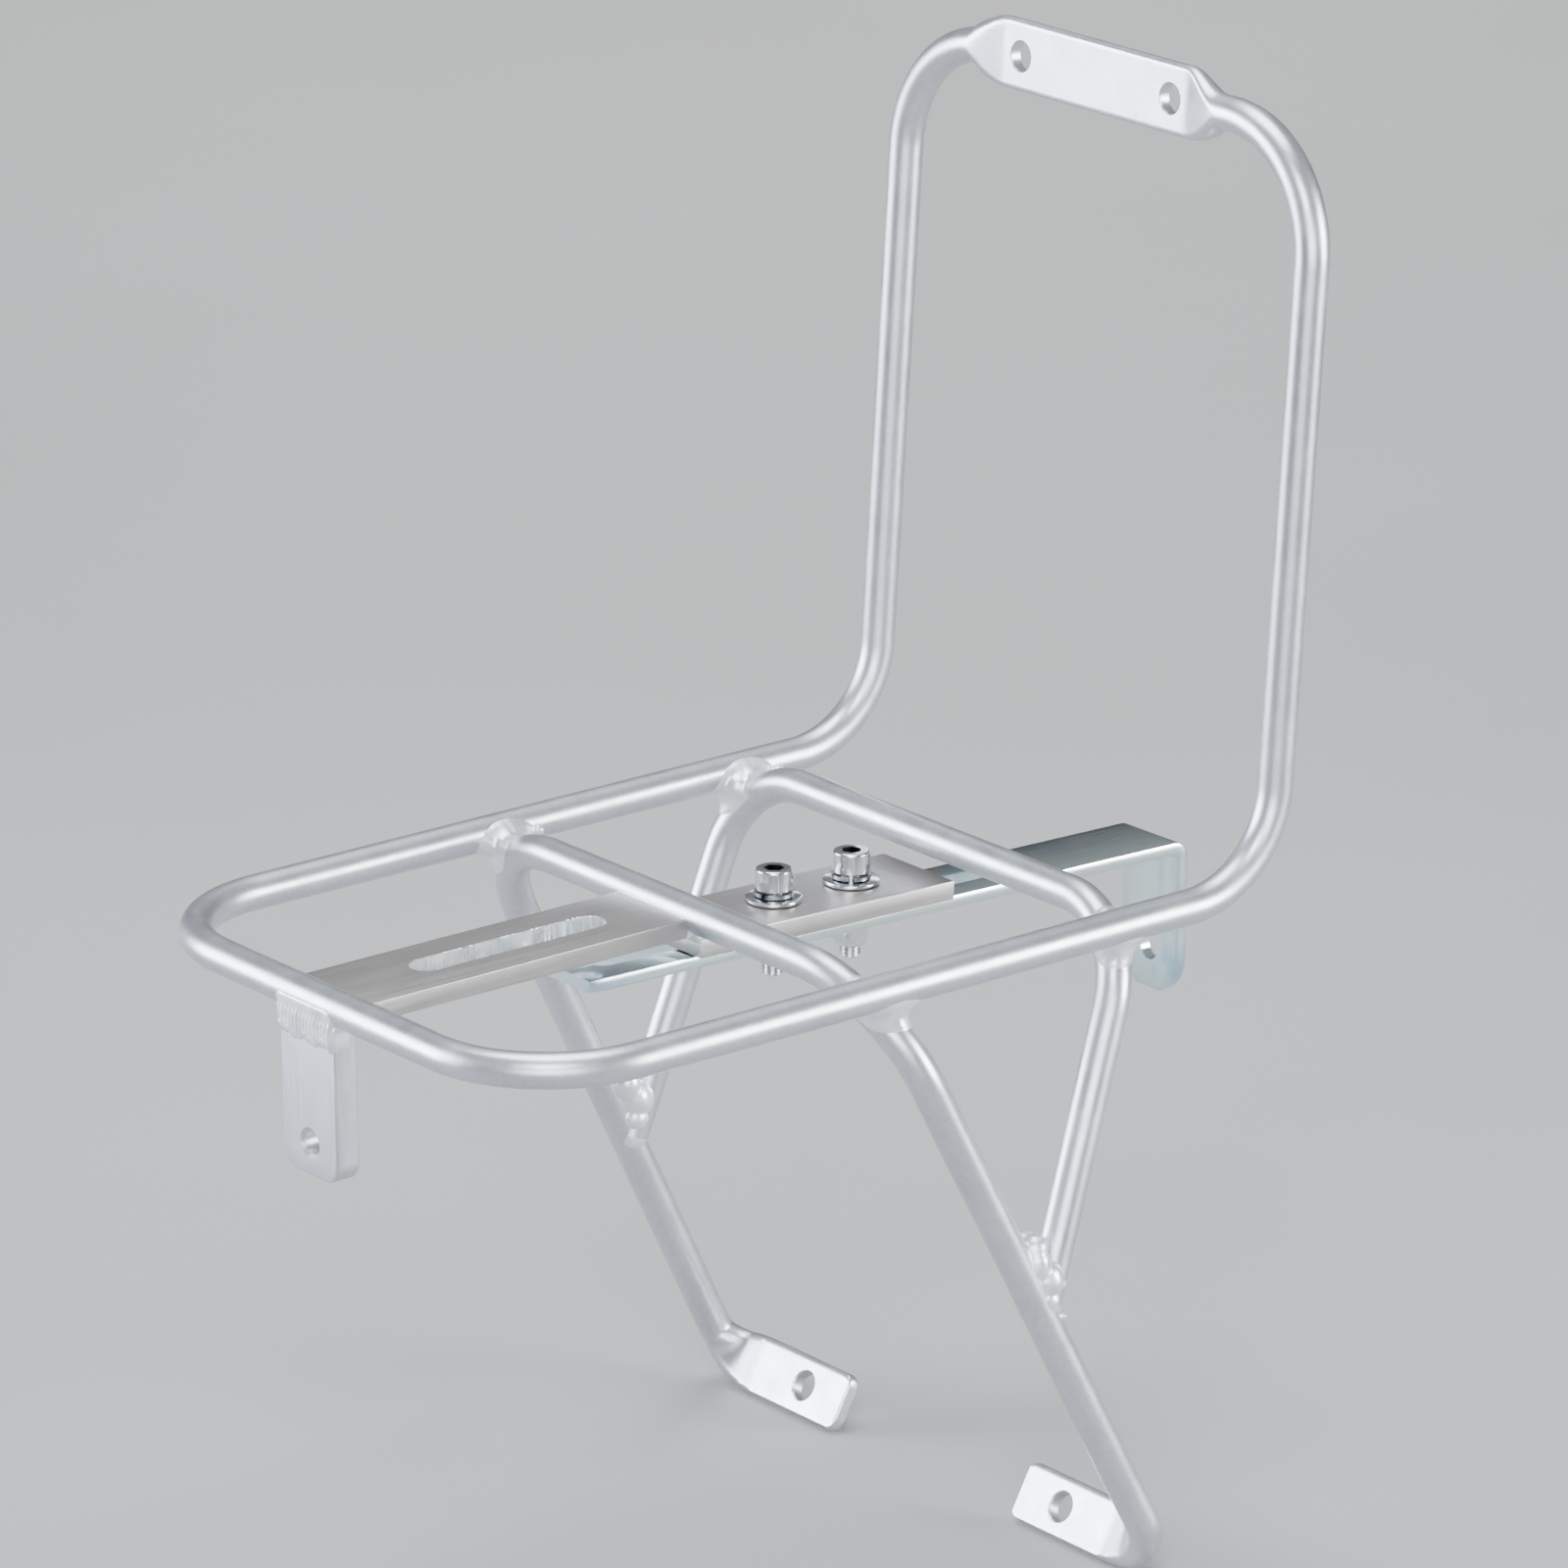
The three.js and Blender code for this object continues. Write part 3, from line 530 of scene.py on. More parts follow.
def main_route():
    """Outer bar, far rail, hoop and near rail, closed on the midline."""
    bends = [(0, BAR_CORNER_R, 0), (HOOP_X, HOOP_BEND_R, 0), (HOOP_TOP.x, HOOP_CORNER_R, HOOP_TOP.z)]
    corners = [(Vector((x, RAIL_Y, z)), radius) for x, radius, z in bends]
    corners += [(Vector((x, -RAIL_Y, z)), radius) for x, radius, z in reversed(bends)]
    seam = (Vector((0, MIDLINE_Y, 0)), 0)
    return Route([seam] + corners + [seam], pitch=1.2, turn=0.05, closed=True)


def hoop_press(point):
    """The flat across the hoop's top, with a longer shoulder on the near side."""
    if (point - Vector((HOOP_TOP.x, point.y, HOOP_TOP.z))).length > 0.5:
        return None
    past = (abs(point.y - MIDLINE_Y) - HOOP_FLAT_HALF) / HOOP_FLAT_TAPER
    ease = 1.0 if point.y < MIDLINE_Y else 0.3
    return pressed_section(past, HOOP_NORMAL, HOOP_FLAT_THICK, HOOP_FLAT_TALL, ease)


def limb_point(limb, side, down):
    """A point of a leg's or strut's centre line, down millimetres below its cross rod."""
    x = limb["cross_x"] + limb["slope_x"] * down
    return Vector((x, side * (limb["top_y"] + limb["slope_y"] * down), CROSS_Z - down))


def leg_route():
    """Far foot, far leg, cross rod, near leg and near foot."""
    far, near = (
        [
            (Vector((FOOT_X, side * FOOT_END_Y, FOOT_Z)), 0),
            (limb_point(LEG, side, CROSS_Z - FOOT_Z), FOOT_BEND_R),
            (limb_point(LEG, side, 0), LEG["bend_r"]),
        ]
        for side in (1, -1)
    )
    return Route(far + near[::-1], pitch=1.2, fine_end=2.75)


def foot_press(point):
    """The flat of a foot, with the corners of its free end rounded and the rim eased."""
    if point.z - FOOT_Z > 20:
        return None
    past = max((abs(point.y) - FOOT_FLAT_TO_Y) / FOOT_TAPER, (point.z - FOOT_Z) / FOOT_TAPER_UP)
    pressed = pressed_section(past, FOOT_NORMAL, FOOT_THICK, FOOT_TALL)
    into_corner = FOOT_CORNER_R - (abs(point.y) - FOOT_END_Y)
    if pressed and into_corner > 0:
        normal, half_thick, above, below = pressed
        rim = max(0.0, into_corner - FOOT_CORNER_R + FOOT_RIM)
        lost = FOOT_CORNER_R - math.sqrt(max(0.0, FOOT_CORNER_R**2 - into_corner**2)) + rim * 0.5
        return normal, half_thick - rim, above - lost, below - lost
    return pressed


def strut_route():
    """Far strut, cross rod and near strut."""
    far, near = (
        [(limb_point(STRUT, side, STRUT_END), 0), (limb_point(STRUT, side, 0), STRUT["bend_r"])]
        for side in (1, -1)
    )
    return Route(far + near[::-1])


MAIN_ROUTE, LEG_ROUTE, STRUT_ROUTE = main_route(), leg_route(), strut_route()

main_rod = rod("main_hoop", MAIN_ROUTE, hoop_press, replaces=["main_hoop_rod"])
hoop_holes = [HOOP_TOP + Vector((0, MIDLINE_Y + side * HOOP_HOLE_HALF_SPACING, 0)) for side in (-1, 1)]
drill(main_rod, hoop_holes, HOOP_NORMAL, HOOP_HOLE_R, 0.3, HOOP_FLAT_THICK / 2, 38)
leg_rod = rod("legs_and_feet", LEG_ROUTE, foot_press, replaces=["front_leg_rod"])
foot_holes = [Vector((FOOT_X, side * FOOT_HOLE_Y, FOOT_Z)) for side in (-1, 1)]
drill(leg_rod, foot_holes, FOOT_NORMAL, FOOT_HOLE_R, 0.35, FOOT_THICK / 2, 38)
rod("struts", STRUT_ROUTE, replaces=["rear_strut_rod"])


# ---- flat bars ----


def rounded(points, radii, steps=8):
    """A closed outline with each corner rounded by its own radius."""
    outline = []
    count = len(points)
    for i, corner in enumerate(points):
        corner = Vector(corner)
        radius = radii[i]
        before = (corner - Vector(points[i - 1])).normalized()
        after = (Vector(points[(i + 1) % count]) - corner).normalized()
        if radius <= 0:
            outline.append(corner)
            continue
        angle = before.angle(after)
        setback = radius * math.tan(angle / 2)
        start = corner - before * setback
        inward = (after - before * math.cos(angle)).normalized()
        centre = start + inward * radius
        for k in range(steps + 1):
            a = angle * k / steps
            outline.append(centre - inward * radius * math.cos(a) + before * radius * math.sin(a))
    return outline


def rectangle(x0, x1, y0, y1):
    return [Vector((x0, y0)), Vector((x1, y0)), Vector((x1, y1)), Vector((x0, y1))]


def slot_outline(start, end, width, centre=0.0, steps=14):
    """A slot with round ends along the first axis."""
    r = width / 2
    points = []
    for middle, from_angle in ((end - r, -math.pi / 2), (start + r, math.pi / 2)):
        for k in range(steps + 1):
            a = from_angle + math.pi * k / steps
            points.append(Vector((middle + r * math.cos(a), centre + r * math.sin(a))))
    return points


def offset_outline(outline, amount):
    """The outline moved outward (its own left is inside) by amount, corner by corner."""
    moved = []
    count = len(outline)
    for i, point in enumerate(outline):
        before = (point - outline[i - 1])
        after = (outline[(i + 1) % count] - point)
        before = before.normalized() if before.length > 1e-9 else after.normalized()
        after = after.normalized() if after.length > 1e-9 else before
        n1 = Vector((before.y, -before.x))
        n2 = Vector((after.y, -after.x))
        n = (n1 + n2).normalized()
        moved.append(point + n * (amount / max(0.4, n.dot(n1))))
    return moved


def stack(levels, place):
    """Rings from (height, outline) pairs in the matrix place."""
    return [[place @ Vector((p.x, p.y, z)) for p in shape] for z, shape in levels]


def slab(outline, thick, place, edge, steps):
    """A plate with its outline's edges rounded over, from z = 0 down to -thick in the matrix place."""
    arc = [math.pi / 2 * k / steps for k in range(steps + 1)]
    levels = [(-edge * (1 - math.cos(a)), 1 - math.sin(a)) for a in arc]
    levels += [(-thick + edge * (1 - math.sin(a)), 1 - math.cos(a)) for a in arc]
    return loft(stack([(z, offset_outline(outline, -edge * inset)) for z, inset in levels], place))


def slot_tool(outline, thick, place, chamfer, material=None, rough=None):
    """Cuts an outline through a plate that lies from z = 0 to -thick, with a small chamfer each side.
    rough is the wall's own outline where it differs."""
    over, clear = 0.4, 3.0
    wide = offset_outline(outline, chamfer + over)
    wall = rough or outline
    levels = [(clear, wide), (over, wide), (-chamfer, wall)]
    levels += [(chamfer - thick, wall), (-thick - over, wide), (-thick - clear, wide)]
    return tool_from(*loft(stack(levels, place)), material)


def plate(name, node, outline, thick, place, edge=PLATE_EDGE, material=BAR, steps=3):
    return make(name, *slab(outline, thick, place, edge, steps), material, replaces=[node])


def divided(outline, pitch):
    """The same outline with its long sides divided."""
    points = []
    for i, point in enumerate(outline):
        after = outline[(i + 1) % len(outline)]
        steps = max(1, round((after - point).length / pitch))
        points += [point.lerp(after, k / steps) for k in range(steps)]
    return points


def milled(outline, depth, pitch):
    """The outline with the uneven scallops of a chattering cutter standing in from it."""
    scallops = offset_outline(outline, -depth)
    rough = []
    run = 0.0
    for i, point in enumerate(outline):
        run += (point - outline[i - 1]).length
        uneven = 1 + 0.3 * noise.noise(Vector((run * 0.11, 3.1, 0)))
        wave = abs(math.sin(math.pi * run / (pitch * uneven)))
        wobble = 0.55 + 0.6 * noise.noise(Vector((run * 0.45, 0.7, 0)))
        rough.append(point.lerp(scallops[i], wave * wobble))
    return rough


flat = Matrix.Translation((0, 0, FRONT_PLATE_TOP))
half = PLATE_W / 2
near_y, far_y = MIDLINE_Y - half, MIDLINE_Y + half
plate_end = LEG["cross_x"] - 3.0
front_outline = rectangle(FRONT_PLATE_FROM, plate_end, near_y, far_y)
front_plate = plate("front_bar", "front_slotted_plate", front_outline, PLATE_T, flat)
# A slanting cut along the front bar's end, where it meets the cross rod.
bevel = [(plate_end - 2.0, -8), (plate_end + 6, -8), (plate_end + 6, 2.4), (plate_end + 0.45, 2.4)]
bevel_tool = tool_from(*loft([[Vector((x, y, z)) for x, z in bevel] for y in (near_y - 2, far_y + 2)]))
front_slot = divided(slot_outline(*FRONT_SLOT, MIDLINE_Y), 0.3)
scalloped = milled(front_slot, 0.45, 1.35)
combine(
    front_plate,
    [bevel_tool, slot_tool(front_slot, PLATE_T, flat, 0.15, SLOT_METAL, scalloped)],
    smooth_below=30,
)

x0, x1 = (x - CLAMP_PIVOT.x for x in CLAMP_PLATE)
clamp_plate = plate("rear_bar", "rear_clamp_plate", rectangle(x0, x1, -half, half), PLATE_T, CLAMP)
screw_holes = [CLAMP @ Vector((x - CLAMP_PIVOT.x, 0, -PLATE_T / 2)) for x in SCREW_X]
drill(clamp_plate, screw_holes, CLAMP.to_3x3() @ Vector((0, 0, 1)), SCREW_CLEARANCE_R, 0.3, PLATE_T / 2)

# The tab's outline lies in the plane of its front face: the first axis runs to the near side.
across = Matrix(((0, 0, -1, -TAB["thick"] / 2), (-1, 0, 0, 0), (0, 1, 0, 0), (0, 0, 0, 1)))
tab_far, tab_near = -(MIDLINE_Y + TAB["width"] / 2), -(MIDLINE_Y - TAB["width"] / 2)
tab_outline = rounded(
    [(tab_far, TAB["top"]), (tab_far, TAB["bottom"]), (tab_near, TAB["bottom"]), (tab_near, TAB["top"])],
    [0, TAB["corner"], TAB["corner"], 0],
    12,
)
tab = plate("lamp_bracket", "lamp_tab", tab_outline, TAB["thick"], across, 0.6, TAB_METAL, 4)
tab_hole = Vector((0, MIDLINE_Y, TAB_HOLE_Z))
drill(tab, [tab_hole], Vector((1, 0, 0)), TAB_HOLE_R, 0.85, TAB["thick"] / 2)


# ---- tongue ----

TONGUE_TOP = -PLATE_T - STACK_GAP


def tongue_body():
    """The strip as rounded-edge sections along its bent centre line, narrowing to a round tip."""
    thick, bend, drop = TONGUE["thick"], TONGUE["bend"], TONGUE["drop"]
    radius = TONGUE["width"] / 2
    mid_z = TONGUE_TOP - thick / 2
    start = TONGUE["from"] - CLAMP_PIVOT.x
    back = TONGUE["to"] - CLAMP_PIVOT.x - thick / 2
    tip = TONGUE_TOP - drop
    bent = [(start, mid_z, 0), (back, mid_z, bend - thick / 2), (back, tip, 0)]
    route = Route([(Vector((x, 0, z)), r) for x, z, r in bent], pitch=2.5, turn=0.12)
    lower = Vector((back, 0, tip + radius))
    stations = [s for s in zip(route.points, route.tangents) if s[0].z > lower.z + 1.0]
    tip_steps = 16
    for k in range(tip_steps + 1):
        fall = radius * math.sin(math.pi / 2 * k / tip_steps)
        stations.append((lower - Vector((0, 0, fall)), Vector((0, 0, -1))))
    edge = 0.3
    rings = []
    for index, (point, tangent) in enumerate(stations):
        below = max(0.0, lower.z - point.z)
        wide = math.sqrt(max(0.02, radius**2 - below**2)) if below > 0 else radius
        rise = Vector((0, 1, 0)).cross(tangent) * -1
        inset = edge if index == 0 else 0.0
        ring = []
        for sign_w, sign_t, order in ((1, 1, 0), (-1, 1, 1), (-1, -1, 0), (1, -1, 1)):
            eased = [(0.0, edge), (edge * 0.3, edge * 0.3), (edge, 0.0)]
            for dw, dt in eased[:: -1 if order else 1]:
                w = max(0.05, wide - inset - min(dw, wide * 0.5))
                t = thick / 2 - dt - inset * 0.5
                ring.append(CLAMP @ (point + Vector((0, sign_w * w, 0)) + rise * sign_t * t))
        rings.append(ring)
    return loft(rings)


tongue = make("sliding_tongue", *tongue_body(), ZINC, 40, body="tongue", replaces=["tongue_strip"])
strip_top = CLAMP @ Matrix.Translation((0, 0, TONGUE_TOP))
hanging = CLAMP @ Matrix.Translation((TONGUE["to"] - CLAMP_PIVOT.x, 0, TONGUE_TOP)) @ Matrix(
    ((0, 0, 1, 0), (0, -1, 0, 0), (1, 0, 0, 0), (0, 0, 0, 1))
)
slot_start, slot_end, slot_width = TONGUE_SLOT
eye_top, eye_bottom, eye_width = TONGUE_EYE
long_slot = slot_outline(slot_start - CLAMP_PIVOT.x, slot_end - CLAMP_PIVOT.x, slot_width)
eye = slot_outline(-eye_bottom, -eye_top, eye_width)
combine(
    tongue,
    [slot_tool(shape, TONGUE["thick"], at, 0.25) for shape, at in ((long_slot, strip_top), (eye, hanging))],
    smooth_below=40,
)


# ---- bolts ----


HEAD_R, HEAD_H, HEAD_EDGE = 4.25, 5.0, 0.55
SOCKET_FLATS, SOCKET_MOUTH, SOCKET_DEPTH = 4.0, 4.6, 2.6
THREAD_R, THREAD_PITCH, THREAD_TOP, THREAD_TIP = 2.45, 0.8, -0.3, -20.0
WASHER_BORE_R, WASHER_T = 2.75, 0.9
TOP_WASHER_R, LOW_WASHER_R = 6.5, 5.0
SPRING_R, SPRING_T = 4.5, 1.1
NUT_FLATS, NUT_H, NUT_COLLAR = 8.0, 5.0, 1.1


def hexagon(flats, z, place, turn):
    """A hexagonal ring of points with softened corners."""
    corners = [polar(flats / math.sqrt(3), turn + math.pi / 3 * i).xy for i in range(6)]
    return stack([(z, rounded(corners, [0.25] * 6, 6))], place)[0]


def thread_body(place, sides=36, per_pitch=10):
    """A threaded shank: the crest winds down it once every pitch, and its tip is chamfered."""
    length = THREAD_TOP - THREAD_TIP
    steps = round(length / THREAD_PITCH * per_pitch)
    rings = []
    for i in range(steps + 1):
        z = THREAD_TOP - length * i / steps
        ring = []
        for j in range(sides):
            turn = j / sides
            tooth = 1 - abs(2 * ((z / THREAD_PITCH + turn) % 1.0) - 1)
            r = THREAD_R - 0.5 * THREAD_PITCH * min(1.0, max(0.0, tooth * 1.25 - 0.1))
            r = min(r, THREAD_R - 0.75 + max(0.0, z - THREAD_TIP))
            ring.append(place @ polar(r, 2 * math.pi * turn, z))
        rings.append(ring)
    return loft(rings)


def cap_screw(name, place, node, turn):
    profile = [(2.4, -0.6), (2.4, 0.0), (HEAD_R - 0.25, 0.0), (HEAD_R, 0.25), (HEAD_R, HEAD_H - HEAD_EDGE)]
    for k in range(1, 6):
        rim = polar(HEAD_EDGE, math.pi / 2 * k / 5)
        profile.append((HEAD_R - HEAD_EDGE + rim.x, HEAD_H - HEAD_EDGE + rim.y))
    profile.append((0.4, HEAD_H))
    head = turned(profile, place, 64)
    piece = make(name, *head, SCREW, replaces=[node], smooth_below=40)
    levels = (
        (SOCKET_FLATS, HEAD_H - SOCKET_DEPTH), (SOCKET_FLATS, HEAD_H - 0.12), (SOCKET_MOUTH, HEAD_H + 0.2)
    )
    socket = loft([hexagon(flats, z, place, turn) for flats, z in levels])
    # The socket's cut faces take the near-black painted shade of the recess.
    combine(piece, [tool_from(*socket, SOCKET_PAINTED_SHADE)], smooth_below=40)
    make(f"{name}_shank", *thread_body(place), SCREW, smooth_below=50)


def flat_washer(name, place, node, outer):
    """A stamped washer with a rolled rim."""
    inner, thick, e = WASHER_BORE_R, WASHER_T, WASHER_T * 0.32
    lower = [(inner, e * 0.5), (inner + e * 0.5, 0), (outer - e, 0), (outer - e * 0.3, e * 0.3), (outer, e)]
    profile = lower + [(r, thick - z) for r, z in reversed(lower)]
    make(name, *turned(profile, place, 64, ring=True), SCREW, replaces=[node])


def spring_washer(name, place, node, turn):
    """One turn of square wire whose cut ends stand a little apart in height."""
    inner, outer, thick = WASHER_BORE_R, SPRING_R, SPRING_T
    lower = [(inner, 0.12), (inner + 0.12, 0.05), (outer - 0.12, 0.05), (outer, 0.17)]
    section = lower + [(r, thick - z) for r, z in reversed(lower)]
    steps, gap, pitch = 60, 0.16, 0.1
    rings = []
    for i in range(steps + 1):
        a = turn + gap + (2 * math.pi - 2 * gap) * i / steps
        rise = pitch * (i / steps - 0.5)
        rings.append([place @ polar(r, a, z + rise) for r, z in section])
    make(name, *loft(rings), SPRING_STEEL, replaces=[node])


def lock_nut(name, place, node, turn):
    """A hexagon with turned chamfers, a rolled collar below it and a nylon ring inside."""
    low, high = NUT_COLLAR, NUT_H
    body = loft([hexagon(NUT_FLATS, low, place, turn), hexagon(NUT_FLATS, high, place, turn)])
    piece = make(name, *body, SCREW, replaces=[node])
    flat_r, corner_r = NUT_FLATS / 2 - 0.1, NUT_FLATS / math.sqrt(3) + 0.1
    chamfer = [(flat_r, low - 0.01), (corner_r, low + 0.55), (corner_r, high - 0.55), (flat_r, high + 0.01)]
    bore = [(2.55, -1), (2.55, high + 1)]
    combine(piece, [tool_from(*turned(chamfer, place))], "INTERSECT", 25)
    combine(piece, [tool_from(*turned(bore, place))], "DIFFERENCE", 25)
    rolled = [(2.9, 0.45), (3.2, 0.05), (3.5, 0.15), (3.65, 0.5), (3.65, low + 0.2), (2.9, low + 0.2)]
    make(f"{name}_collar", *turned(rolled, place, ring=True), SCREW, smooth_below=50)
    ring = [(2.4, 0.3), (2.9, 0.3), (2.9, low + 0.3), (2.4, low + 0.3)]
    make(f"{name}_nylon", *turned(ring, place, ring=True), NYLON)


# The stack on each screw, from the clamp plate's top and from the tongue's underside.
TOP_WASHER_Z = STACK_GAP
SPRING_Z = TOP_WASHER_Z + WASHER_T + STACK_GAP
HEAD_Z = SPRING_Z + SPRING_T + STACK_GAP
LOW_WASHER_Z = TONGUE_TOP - TONGUE["thick"] - STACK_GAP - WASHER_T
NUT_Z = LOW_WASHER_Z - STACK_GAP - NUT_H

for end, x, turn in (("front", SCREW_X[0], 0.35), ("rear", SCREW_X[1], 0.85)):
    screw_axis = CLAMP @ Matrix.Translation((x - CLAMP_PIVOT.x, 0, 0))

    def at(z):
        return screw_axis @ Matrix.Translation((0, 0, z))

    cap_screw(f"socket_screw_{end}", at(HEAD_Z), f"cap_screw_{end}", turn)
    spring_washer(f"split_washer_{end}", at(SPRING_Z), f"spring_washer_{end}", 3.2 + turn)
    flat_washer(f"wide_washer_{end}", at(TOP_WASHER_Z), f"top_washer_{end}", TOP_WASHER_R)
    flat_washer(f"low_washer_{end}", at(LOW_WASHER_Z), f"bottom_washer_{end}", LOW_WASHER_R)
    lock_nut(f"nylon_nut_{end}", at(NUT_Z), f"lock_nut_{end}", turn)


# ---- welds: skins over the metal they join, filled where two surfaces come close ----


# How far a weld's skin lies under the metal beside it.
SKIN_DEPTH = 0.3


class Field:
    """Distances sampled on a grid of points round a weld."""

    def __init__(self, low, high, step):
        self.low, self.step = np.array(low, float), step
        self.shape = tuple(int(math.ceil((b - a) / step)) + 1 for a, b in zip(low, high))
        axes = [a + step * np.arange(n) for a, n in zip(low, self.shape)]
        self.p = np.stack(np.meshgrid(*axes, indexing="ij"), -1)

    def rod(self, route):
        """Distance to a rod's surface, from those of its runs that come near this grid."""
        middle = self.low + self.step * np.array(self.shape) / 2
        reach = float(np.linalg.norm(np.array(self.shape))) * self.step / 2 + 8
        nearest = np.full(self.shape, 1e9)
        for run in route.runs:
            if self.run_distance(run, middle) < reach:
                nearest = np.minimum(nearest, self.run_distance(run, self.p))
        return nearest - ROD_R

    @staticmethod
    def run_distance(run, p):
        """Distance from points to one straight or one bend of a centre line."""
        if run[0] == "line":
            a, b = (np.array(end) for end in run[1:])
            along = b - a
            t = np.clip((p - a) @ along / max(1e-9, along @ along), 0, 1)
            return np.linalg.norm(p - a - t[..., None] * along, axis=-1)
        centre, u, v = (np.array(axis) for axis in run[1:4])
        radius, angle = run[4:]
        q = p - centre
        x, y, z = q @ u, q @ v, q @ np.cross(u, v)
        turn = np.arctan2(y, x)
        return np.where((turn > -0.03) & (turn < angle + 0.03), np.hypot(np.hypot(x, y) - radius, z), 1e9)

    def box(self, low, high, place=None):
        """Distance to a box given in the matrix place."""
        q = self.p
        if place is not None:
            inverse = np.array(place.inverted())
            q = q @ inverse[:3, :3].T + inverse[:3, 3]
        centre = (np.array(low) + np.array(high)) / 2
        half_size = (np.array(high) - np.array(low)) / 2
        d = np.abs(q - centre) - half_size
        return np.linalg.norm(np.maximum(d, 0), axis=-1) + np.minimum(d.max(-1), 0)

    def ball(self, centre, radii, turn=None):
        """Roughly the distance to an ellipsoid."""
        q = self.p - np.array(centre)
        if turn is not None:
            q = q @ np.array(turn.to_3x3())
        radii = np.array(radii, float)
        scaled = np.linalg.norm(q / radii, axis=-1)
        return (scaled - 1) * radii.min()

    def wave(self, height, seed):
        """Slow smooth unevenness."""
        x, y, z = (self.p[..., k] for k in range(3))
        total = np.sin(1.7 * x + seed) + np.sin(1.3 * y + 2.1 * seed) + np.sin(1.9 * z - 1.3 * seed)
        return total * height / 3


def blend(a, b, size):
    """The smooth union of two distances, and how much fillet it added at each point."""
    h = np.maximum(size - np.abs(a - b), 0) / size
    return np.minimum(a, b) - h * h * size / 4, h


def cut(parts):
    """An index with its own slice on each axis in parts, and all of the others."""
    return tuple(parts.get(k, slice(None)) for k in range(3))


def net(field, value):
    """A surface net over the grid's zero level: one vertex in each cell the level passes through."""
    inside = value < 0
    cell_shape = tuple(n - 1 for n in value.shape)
    total, hits = np.zeros(cell_shape + (3,)), np.zeros(cell_shape)
    cells = np.arange(hits.size).reshape(cell_shape)
    low, high, inner = slice(0, -1), slice(1, None), slice(1, -1)
    quads = []
    for axis in range(3):
        a, b = (k for k in range(3) if k != axis)
        v0, v1 = value[cut({axis: low})], value[cut({axis: high})]
        crossed = (v0 < 0) != (v1 < 0)
        index = np.stack(np.meshgrid(*[np.arange(n) for n in v0.shape], indexing="ij"), -1).astype(float)
        index[..., axis] += np.where(crossed, v0 / np.where(crossed, v0 - v1, 1), 0)
        for part_a in (low, high):
            for part_b in (low, high):
                source = cut({a: part_a, b: part_b})
                total += index[source] * crossed[source][..., None]
                hits += crossed[source]
        where = np.argwhere(crossed[cut({a: inner, b: inner})])
        where[:, [a, b]] += 1
        corners = []
        for da, db in ((1, 1), (0, 1), (0, 0), (1, 0)):
            c = where.copy()
            c[:, a] -= da
            c[:, b] -= db
            corners.append(cells[tuple(c.T)])
        quad = np.stack(corners, -1)
        flip = inside[tuple(where.T)] != (axis == 1)
        quad[~flip] = quad[~flip][:, ::-1]
        quads.append(quad)
    quads = np.concatenate(quads)
    used = np.unique(quads)
    renumber = np.full(cells.size, -1)
    renumber[used] = np.arange(len(used))
    vertices = total.reshape(-1, 3)[used] / hits.reshape(-1)[used][:, None] * field.step + field.low
    return [Vector(v) for v in vertices], [tuple(int(i) for i in renumber[q]) for q in quads]


def weld(name, field, value, node):
    """A weld's skin, relaxed once the net is drawn."""
    vertices, faces = net(field, value)
    piece = make(name, vertices, faces, WELD, replaces=[node], smooth_below=60)
    relax = piece.modifiers.new("relax", "SMOOTH")
    relax.factor = 0.5
    relax.iterations = 2
    apply_modifiers(piece)
    tidy(piece, 60)


def around(centre, reach):
    c = np.array(centre)
    return Field(c - reach, c + reach, 0.32)


def sink(fillet):
    """Away from its fillet a weld's skin sinks into the metal it covers."""
    return 0.28 * (1 - np.clip((fillet - 0.12) * 3.2, 0, 1))


def ripples(phase, fillet, height):
    """Fish-scale ripples, only where there is weld metal between the two surfaces."""
    saw = phase - np.floor(phase)
    return -height * (1 - saw) ** 1.5 * np.clip(fillet * 1.6, 0, 1)


def rail_joint(name, side, limb, route, node, seed, drops):
    """Where a cross rod dips under a rail: fillets flow from one rod to the other on all sides."""
    centre = Vector((limb["cross_x"] + limb["slope_x"] * 4, side * 67.0, -4.4))
    field = around(centre, 12.5)
    rail, under = field.rod(MAIN_ROUTE), field.rod(route)
    value, fillet = blend(rail, under, 7.4)
    q = field.p - np.array(centre)
    angle = np.arctan2(q[..., 0], q[..., 1] * side - q[..., 2])
    value = value + ripples(angle * 10 / math.pi, fillet, 0.07) + field.wave(0.08, seed) * fillet
    value = value + sink(fillet)
    for x, y, z, radius in drops:
        value, _ = blend(value, field.ball((x, side * y, z), (radius, radius, radius)), 0.7)
    value = np.maximum(value, np.linalg.norm(q, axis=-1) - 11.0)
    weld(name, field, value, node)


# Each puddle of a strut joint, and each small bead on its outer face: how far down, how far back, how
# far out, and its radii or radius.
STRUT_PUDDLES = [
    (67.2, -1.6, 1.4, (3.3, 3.6, 2.8)), (70.6, -1.8, 2.6, (3.0, 3.2, 4.0)), (75.0, 0.8, 2.6, (3.6, 3.3, 4.2)),
    (79.6, 0.2, 2.3, (3.0, 3.0, 3.0)), (83.6, 1.4, 1.2, (2.5, 2.6, 2.8)),
]
STRUT_BEADS = ((76.2, 3.4, 3.9, 1.15), (84.0, 3.6, 3.4, 0.75))


